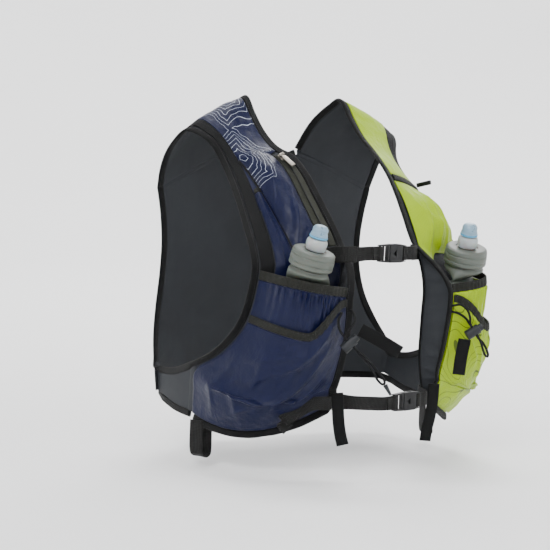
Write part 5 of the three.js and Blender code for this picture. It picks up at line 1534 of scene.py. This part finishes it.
def add_straps():
    strap("sternum", -1, "sternum_strap_right", "chest strap right",
          [right_point(0.34, 11.95, 4.6), right_point(0.2, 11.95, 5.4), (-67, -175.5, -157.5),
           (-60.8, -183.1, -156.8),
           (-49.5, -186.2, -156.6), (-48.5, -186.3, -156.6)], 11.9, 5)
    strap("sternum", 1, "sternum_strap_left", "chest strap left",
          [on_panel(0.16, 11.75, -2.4), on_panel(0.06, 11.75, -2.4), on_panel(-0.08, 11.75, -2.8),
           (41, -179, -156.5)], 11.75, 3)
    strap("waist", -1, "waist_strap_right", "waist strap right",
          [right_point(0.12, 19.25, -2.4), (-70, -167.5, -315), (-60.5, -172.8, -314.5), (-55, -182, -315),
           (-43, -189.8, -315.8), (-26, -193, -317)], 19.2, 3)
    strap("waist", 1, "waist_strap_left", "waist strap left",
          [on_panel(0.12, 19.25, -2.4), (71, -167.5, -315), (61.5, -172, -314.5), (58.5, -181, -315),
           (56, -189.5, -315.5)],
          19.2, 3)


def add_buckles():
    for which, label in (("sternum", "chest"), ("waist", "waist")):
        for half in ("male", "female"):
            refined(f"{label} buckle {half}", f"{which}_buckle_{half}", 0.55, black_plastic(), "plastic")


def tab(label, node, points, side, width, thickness, material, material_slot):
    points = np.array(points, float)
    sides = np.broadcast_to(unit(np.array(side, float)), points.shape)
    shape = section(width, thickness, 20, 4.0)
    return band(label, points, sides, shape, material, material_slot, node, 10)


def add_tabs():
    tab("label tab right", "label_tab_right",
        [(-70, -190.5, -303), (-69.5, -192, -318), (-69, -193.5, -332), (-68.3, -196, -345),
         (-67, -200, -358)],
        (0.85, -0.5, 0), 13, 1.8, binding_tape(), "webbing")
    tab("label tab left", "label_tab_left",
        [(68, -188.1, -302), (68, -187.1, -322), (67.5, -184.5, -340), (66.5, -181.5, -354),
         (66, -180, -367)],
        (0.9, -0.4, 0), 13, 1.8, binding_tape(), "webbing")
    over = lambda u, v, by: mirrored(on_panel(u, v, front_pocket_height(u, v) + by), -1)
    points = [(-77.8, -191, -313.5), over(0.1, 19.1, 4.2), over(0.19, 19.35, 4.0), over(0.26, 19.6, 8.4),
              (-116.5, -168.2, -343)]
    points = np.array([np.asarray(p, float).reshape(3) for p in points])
    up = mirrored(unit(on_panel(0.1, 18.9) - on_panel(0.1, 19.5)), -1)
    shape = section(14, WEBBING_THICKNESS, 20, 5.0)
    band("strap tail", points, np.broadcast_to(up, points.shape), shape, strap_webbing(), "webbing",
         "strap_tail_right", 12)
    for side, name in SIDES:
        loop = np.array([(167, -71, -345.5), (167, -72, -377), (165.6, -72.5, -382), (161.4, -73, -384.5),
                         (156.8, -72.5, -382), (155.6, -72, -377), (155.4, -71, -346)])
        tab("side loop " + name, "side_loop_" + name, mirrored(loop, side), (-0.3 * side, -0.95, 0), 18,
            1.6,
            strap_webbing(), "webbing")
    tab("pull tab right", "pull_tab_right",
        [(-76, -231.5, -230), (-66, -240, -236.5), (-55, -249.5, -244), (-44, -259, -252)],
        (0.4, -0.3, 0.87), 14, 2.4, binding_tape(), "binding")
    tab("pull tab left", "pull_tab_left", [(84.2, -216.6, -249.4), (82.5, -214, -270), (82, -212, -289)],
        (0.85, -0.53, 0), 14, 2.4, binding_tape(), "binding")


# Drawcords
CORD_RIGHT = [
    (-72, -208.5, -213), (-75, -215.5, -212.5), (-78.5, -223.5, -215.5), (-81.5, -228.5, -222),
    (-87, -227.5, -231),
    (-90, -223.5, -238.2), (-87.4, -225.4, -241.4), (-82.2, -229.1, -247.7), (-79.5, -230.9, -250.9),
    (-75.5, -235.5, -255), (-71, -242.5, -262), (-65.5, -249.5, -271.5), (-61, -254.5, -279),
    (-61.5, -257.5, -283),
    (-65, -258, -284), (-68, -254.5, -280.5), (-70, -248, -272), (-73.6, -240.5, -262.8),
    (-76.6, -232.8, -255.8),
    (-78, -228.5, -251), (-80.6, -226.6, -247.8), (-85.8, -222.9, -241.5), (-88.4, -221.1, -238.3),
    (-91.5, -217, -231.5), (-90, -212.5, -222.5), (-84, -209.8, -214.5)]
CORD_LEFT = [
    (71.8, -207.6, -213), (78, -214.5, -211.5), (82.5, -220.5, -217), (85.5, -222, -225),
    (87.7, -220.5, -232.2),
    (89.4, -222.2, -236), (93, -225.8, -243.4), (94.8, -227.6, -247.1), (96.5, -230, -253),
    (97.6, -232.4, -260),
    (99, -234.2, -265), (102.4, -234.6, -267), (105, -232.6, -264.5), (103.8, -229.8, -258),
    (100.4, -227.4, -251.8),
    (96.3, -225.2, -247.6), (94.6, -223.4, -243.9), (91, -219.8, -236.4), (89.2, -218, -232.7),
    (86.5, -214.5, -227),
    (80, -210.5, -222), (72, -207, -219.5)]


def add_cord(name, node, points):
    path = smooth_line(points, 10)
    data = bpy.data.curves.new(name, "CURVE")
    data.dimensions = "3D"
    data.bevel_depth = sizes().cord_diameter / 2
    data.bevel_resolution = 4
    data.use_fill_caps = True
    spline = data.splines.new("POLY")
    spline.points.add(len(path) - 1)
    spline.points.foreach_set("co", np.column_stack([path * MM, np.ones(len(path))]).ravel())
    data.materials.append(cord_braid())
    piece = bpy.data.objects.new(name.replace(" ", "_"), data)
    bpy.context.scene.collection.objects.link(piece)
    finish_piece(piece, "cord", node)


def add_cords():
    for _, name in SIDES:
        refined("cord lock barrel " + name, "cord_lock_barrel_" + name, 0.5, lock_plastic(), "plastic")
        refined("cord lock button " + name, "cord_lock_button_" + name, 0.4, lock_plastic(), "plastic",
                body="cord_lock_button_" + name)
    end = refined("cord end", "cord_end_right", 0.3, lock_plastic(), "plastic")
    add_cord("drawcord right", "cord_right", CORD_RIGHT)
    add_cord("drawcord left", "cord_left", CORD_LEFT)


# Stage
CAMERA_AT = (-1.3240, -1.7570, 0.0192)
CAMERA_AZIMUTH = math.radians(-37)
# In pixels of the photo, 550 across; the aim is counted from the line to the origin
FOCAL_PIXELS, PHOTO_PIXELS = 1913.0, 550
AIM_LEFT, AIM_DOWN = 19, 173
ROLL = math.radians(2.4)
SENSOR_WIDTH = 36


def add_camera():
    ahead = -Vector(CAMERA_AT).normalized()
    right = Vector((math.cos(CAMERA_AZIMUTH), math.sin(CAMERA_AZIMUTH), 0.0)).normalized()
    up = right.cross(ahead).normalized()
    turned_right = right * math.cos(ROLL) + up * math.sin(ROLL)
    turned_up = up * math.cos(ROLL) - right * math.sin(ROLL)
    aim = (ahead * FOCAL_PIXELS - turned_right * AIM_LEFT - turned_up * AIM_DOWN).normalized()
    x = aim.cross(turned_up).normalized()
    y = x.cross(aim)
    data = bpy.data.cameras.new("photo camera")
    data.sensor_width = SENSOR_WIDTH
    data.lens = SENSOR_WIDTH * FOCAL_PIXELS / PHOTO_PIXELS
    data.clip_start, data.clip_end = 0.05, 40
    camera = bpy.data.objects.new("photo camera", data)
    bpy.context.scene.collection.objects.link(camera)
    place = Matrix((x, y, -aim)).transposed().to_4x4()
    place.translation = Vector(CAMERA_AT)
    camera.matrix_world = place
    bpy.context.scene.camera = camera
    return camera


def area_light(name, at, aim, size, power):
    data = bpy.data.lights.new(name, "AREA")
    data.shape = "DISK"
    data.size = size
    data.energy = power
    light = bpy.data.objects.new(name.replace(" ", "_"), data)
    bpy.context.scene.collection.objects.link(light)
    light.location = at
    light.rotation_euler = (Vector(aim) - Vector(at)).to_track_quat("-Z", "Y").to_euler()
    return light


def add_stage():
    floor = CAD_BOX[0][2] - 0.012
    net = Net("pale backdrop")
    speck = net.noise(net.solid_place(), 3.0, 2.0)
    pale = net.surface(Base_Color=net.blend(speck, (0.88, 0.88, 0.88), (0.91, 0.91, 0.91)), Roughness=0.95)
    radius = sizes().cyclorama
    profile = [(0.0, floor)]
    for k in range(13):
        angle = math.pi / 2 * k / 12
        profile.append((radius - 1 + math.sin(angle), floor + 1 - math.cos(angle)))
    profile.append((radius, floor + 6))
    sides = 96
    vertices, faces = [(0, 0, floor)], []
    for r, z in profile[1:]:
        for k in range(sides):
            a = 2 * math.pi * k / sides
            vertices.append((r * math.cos(a), r * math.sin(a), z))
    for k in range(sides):
        faces.append((0, 1 + k, 1 + (k + 1) % sides))
    for j in range(len(profile) - 2):
        for k in range(sides):
            a, b = 1 + j * sides + k, 1 + j * sides + (k + 1) % sides
            faces.append((a, a + sides, b + sides, b))
    mesh = bpy.data.meshes.new("backdrop")
    mesh.from_pydata(vertices, [], faces)
    mesh.polygons.foreach_set("use_smooth", [True] * len(mesh.polygons))
    mesh.materials.append(pale)
    backdrop = bpy.data.objects.new("backdrop", mesh)
    bpy.context.scene.collection.objects.link(backdrop)
    camera = add_camera()
    middle = (0, -0.12, -0.2)
    lights = [
        area_light("key light", (-1.9, -1.5, 1.5), middle, 1.0, 50),
        area_light("fill light", (1.3, -2.1, 0.5), middle, 1.6, 15),
        area_light("top light", (-0.2, -0.3, 2.2), middle, 1.4, 22),
        area_light("rim light", (1.6, 1.4, 1.3), middle, 1.0, 20),
        area_light("backdrop light", (0.5, 0.75, 2.6), (1.7, 2.3, 0.4), 1.6, 90),
    ]
    world = bpy.data.worlds.new("studio")
    world.use_nodes = True
    world.node_tree.nodes["Background"].inputs["Color"].default_value = (0.9, 0.93, 1.0, 1)
    world.node_tree.nodes["Background"].inputs["Strength"].default_value = 0.32
    bpy.context.scene.world = world


# Add-on
class VEST_OT_panels(bpy.types.Operator):
    """Front panels with their gussets, mesh bands, and the back and side panels"""

    bl_idname = "vest.panels"
    bl_label = "Panels"
    bl_options = {"REGISTER", "UNDO"}

    def execute(self, context):
        add_panels()
        self.report({"INFO"}, "Panels done")
        return {"FINISHED"}


class VEST_OT_bindings(bpy.types.Operator):
    """Bound edges of the fronts, armholes, neck and hem"""

    bl_idname = "vest.bindings"
    bl_label = "Bindings"
    bl_options = {"REGISTER", "UNDO"}

    def execute(self, context):
        add_bindings()
        self.report({"INFO"}, "Bindings done")
        return {"FINISHED"}


class VEST_OT_bottle_pockets(bpy.types.Operator):
    """Gathered pockets that hold the flasks"""

    bl_idname = "vest.bottle_pockets"
    bl_label = "Bottle pockets"
    bl_options = {"REGISTER", "UNDO"}

    def execute(self, context):
        add_bottle_pockets()
        self.report({"INFO"}, "Bottle pockets done")
        return {"FINISHED"}


class VEST_OT_front_pockets(bpy.types.Operator):
    """Creased outer pockets below the bottle pockets"""

    bl_idname = "vest.front_pockets"
    bl_label = "Front pockets"
    bl_options = {"REGISTER", "UNDO"}

    def execute(self, context):
        add_front_pockets()
        self.report({"INFO"}, "Front pockets done")
        return {"FINISHED"}


class VEST_OT_elastic_bands(bpy.types.Operator):
    """Elastic at the pocket mouths"""

    bl_idname = "vest.elastic_bands"
    bl_label = "Elastic bands"
    bl_options = {"REGISTER", "UNDO"}

    def execute(self, context):
        add_elastic_bands()
        self.report({"INFO"}, "Elastic bands done")
        return {"FINISHED"}


class VEST_OT_pouches(bpy.types.Operator):
    """Chest pouches, stretch pocket and shoulder cover"""

    bl_idname = "vest.pouches"
    bl_label = "Pouches"
    bl_options = {"REGISTER", "UNDO"}

    def execute(self, context):
        add_pouches()
        self.report({"INFO"}, "Pouches done")
        return {"FINISHED"}


class VEST_OT_zip(bpy.types.Operator):
    """Zip tape, teeth, slider and pullers"""

    bl_idname = "vest.zip"
    bl_label = "Zips"
    bl_options = {"REGISTER", "UNDO"}

    def execute(self, context):
        add_zip()
        self.report({"INFO"}, "Zips done")
        return {"FINISHED"}


class VEST_OT_flasks(bpy.types.Operator):
    """Soft flasks with caps, spouts and valves"""

    bl_idname = "vest.flasks"
    bl_label = "Flasks"
    bl_options = {"REGISTER", "UNDO"}

    def execute(self, context):
        add_flasks()
        self.report({"INFO"}, "Flasks done")
        return {"FINISHED"}


class VEST_OT_straps(bpy.types.Operator):
    """Chest and waist webbing"""

    bl_idname = "vest.straps"
    bl_label = "Straps"
    bl_options = {"REGISTER", "UNDO"}

    def execute(self, context):
        add_straps()
        self.report({"INFO"}, "Straps done")
        return {"FINISHED"}


class VEST_OT_buckles(bpy.types.Operator):
    """Fastened buckles of both straps"""

    bl_idname = "vest.buckles"
    bl_label = "Buckles"
    bl_options = {"REGISTER", "UNDO"}

    def execute(self, context):
        add_buckles()
        self.report({"INFO"}, "Buckles done")
        return {"FINISHED"}


class VEST_OT_tabs(bpy.types.Operator):
    """Label tabs, strap tail, side loops and pull tabs"""

    bl_idname = "vest.tabs"
    bl_label = "Tabs and loops"
    bl_options = {"REGISTER", "UNDO"}

    def execute(self, context):
        add_tabs()
        self.report({"INFO"}, "Tabs and loops done")
        return {"FINISHED"}


class VEST_OT_cords(bpy.types.Operator):
    """Drawcords with their locks and cord end"""

    bl_idname = "vest.cords"
    bl_label = "Drawcords"
    bl_options = {"REGISTER", "UNDO"}

    def execute(self, context):
        add_cords()
        self.report({"INFO"}, "Drawcords done")
        return {"FINISHED"}


class VEST_OT_stitches(bpy.types.Operator):
    """Rows of stitches along bands, bindings and pouches"""

    bl_idname = "vest.stitches"
    bl_label = "Stitches"
    bl_options = {"REGISTER", "UNDO"}

    def execute(self, context):
        add_stitches()
        self.report({"INFO"}, "Stitches done")
        return {"FINISHED"}


class VEST_OT_stage(bpy.types.Operator):
    """Pale backdrop, soft lights and the camera"""

    bl_idname = "vest.stage"
    bl_label = "Stage"
    bl_options = {"REGISTER", "UNDO"}

    def execute(self, context):
        add_stage()
        self.report({"INFO"}, "Stage done")
        return {"FINISHED"}


STEPS = [
    VEST_OT_panels,
    VEST_OT_bindings,
    VEST_OT_bottle_pockets,
    VEST_OT_front_pockets,
    VEST_OT_elastic_bands,
    VEST_OT_pouches,
    VEST_OT_zip,
    VEST_OT_flasks,
    VEST_OT_straps,
    VEST_OT_buckles,
    VEST_OT_tabs,
    VEST_OT_cords,
    VEST_OT_stitches,
    VEST_OT_stage,
]


class VEST_PT_build(bpy.types.Panel):
    bl_label = "Running vest"
    bl_idname = "VEST_PT_build"
    bl_space_type = "VIEW_3D"
    bl_region_type = "UI"
    bl_category = "Vest"

    def draw(self, context):
        for group in (context.scene.vest_sizes, context.scene.vest_colours):
            for name in group.bl_rna.properties.keys():
                if name not in ("rna_type", "name"):
                    self.layout.prop(group, name)
        for step in STEPS:
            self.layout.operator(step.bl_idname)


CLASSES = [VestSizes, VestColours, *STEPS, VEST_PT_build]


def register():
    for kind in CLASSES:
        bpy.utils.register_class(kind)
    bpy.types.Scene.vest_sizes = bpy.props.PointerProperty(type=VestSizes)
    bpy.types.Scene.vest_colours = bpy.props.PointerProperty(type=VestColours)


def unregister():
    del bpy.types.Scene.vest_colours
    del bpy.types.Scene.vest_sizes
    for kind in reversed(CLASSES):
        bpy.utils.unregister_class(kind)


def main():
    register()
    for step in STEPS:
        group, name = step.bl_idname.split(".")
        if getattr(getattr(bpy.ops, group), name)() != {"FINISHED"}:
            raise RuntimeError(step.bl_label + " could not finish")


if __name__ == "__main__":
    main()
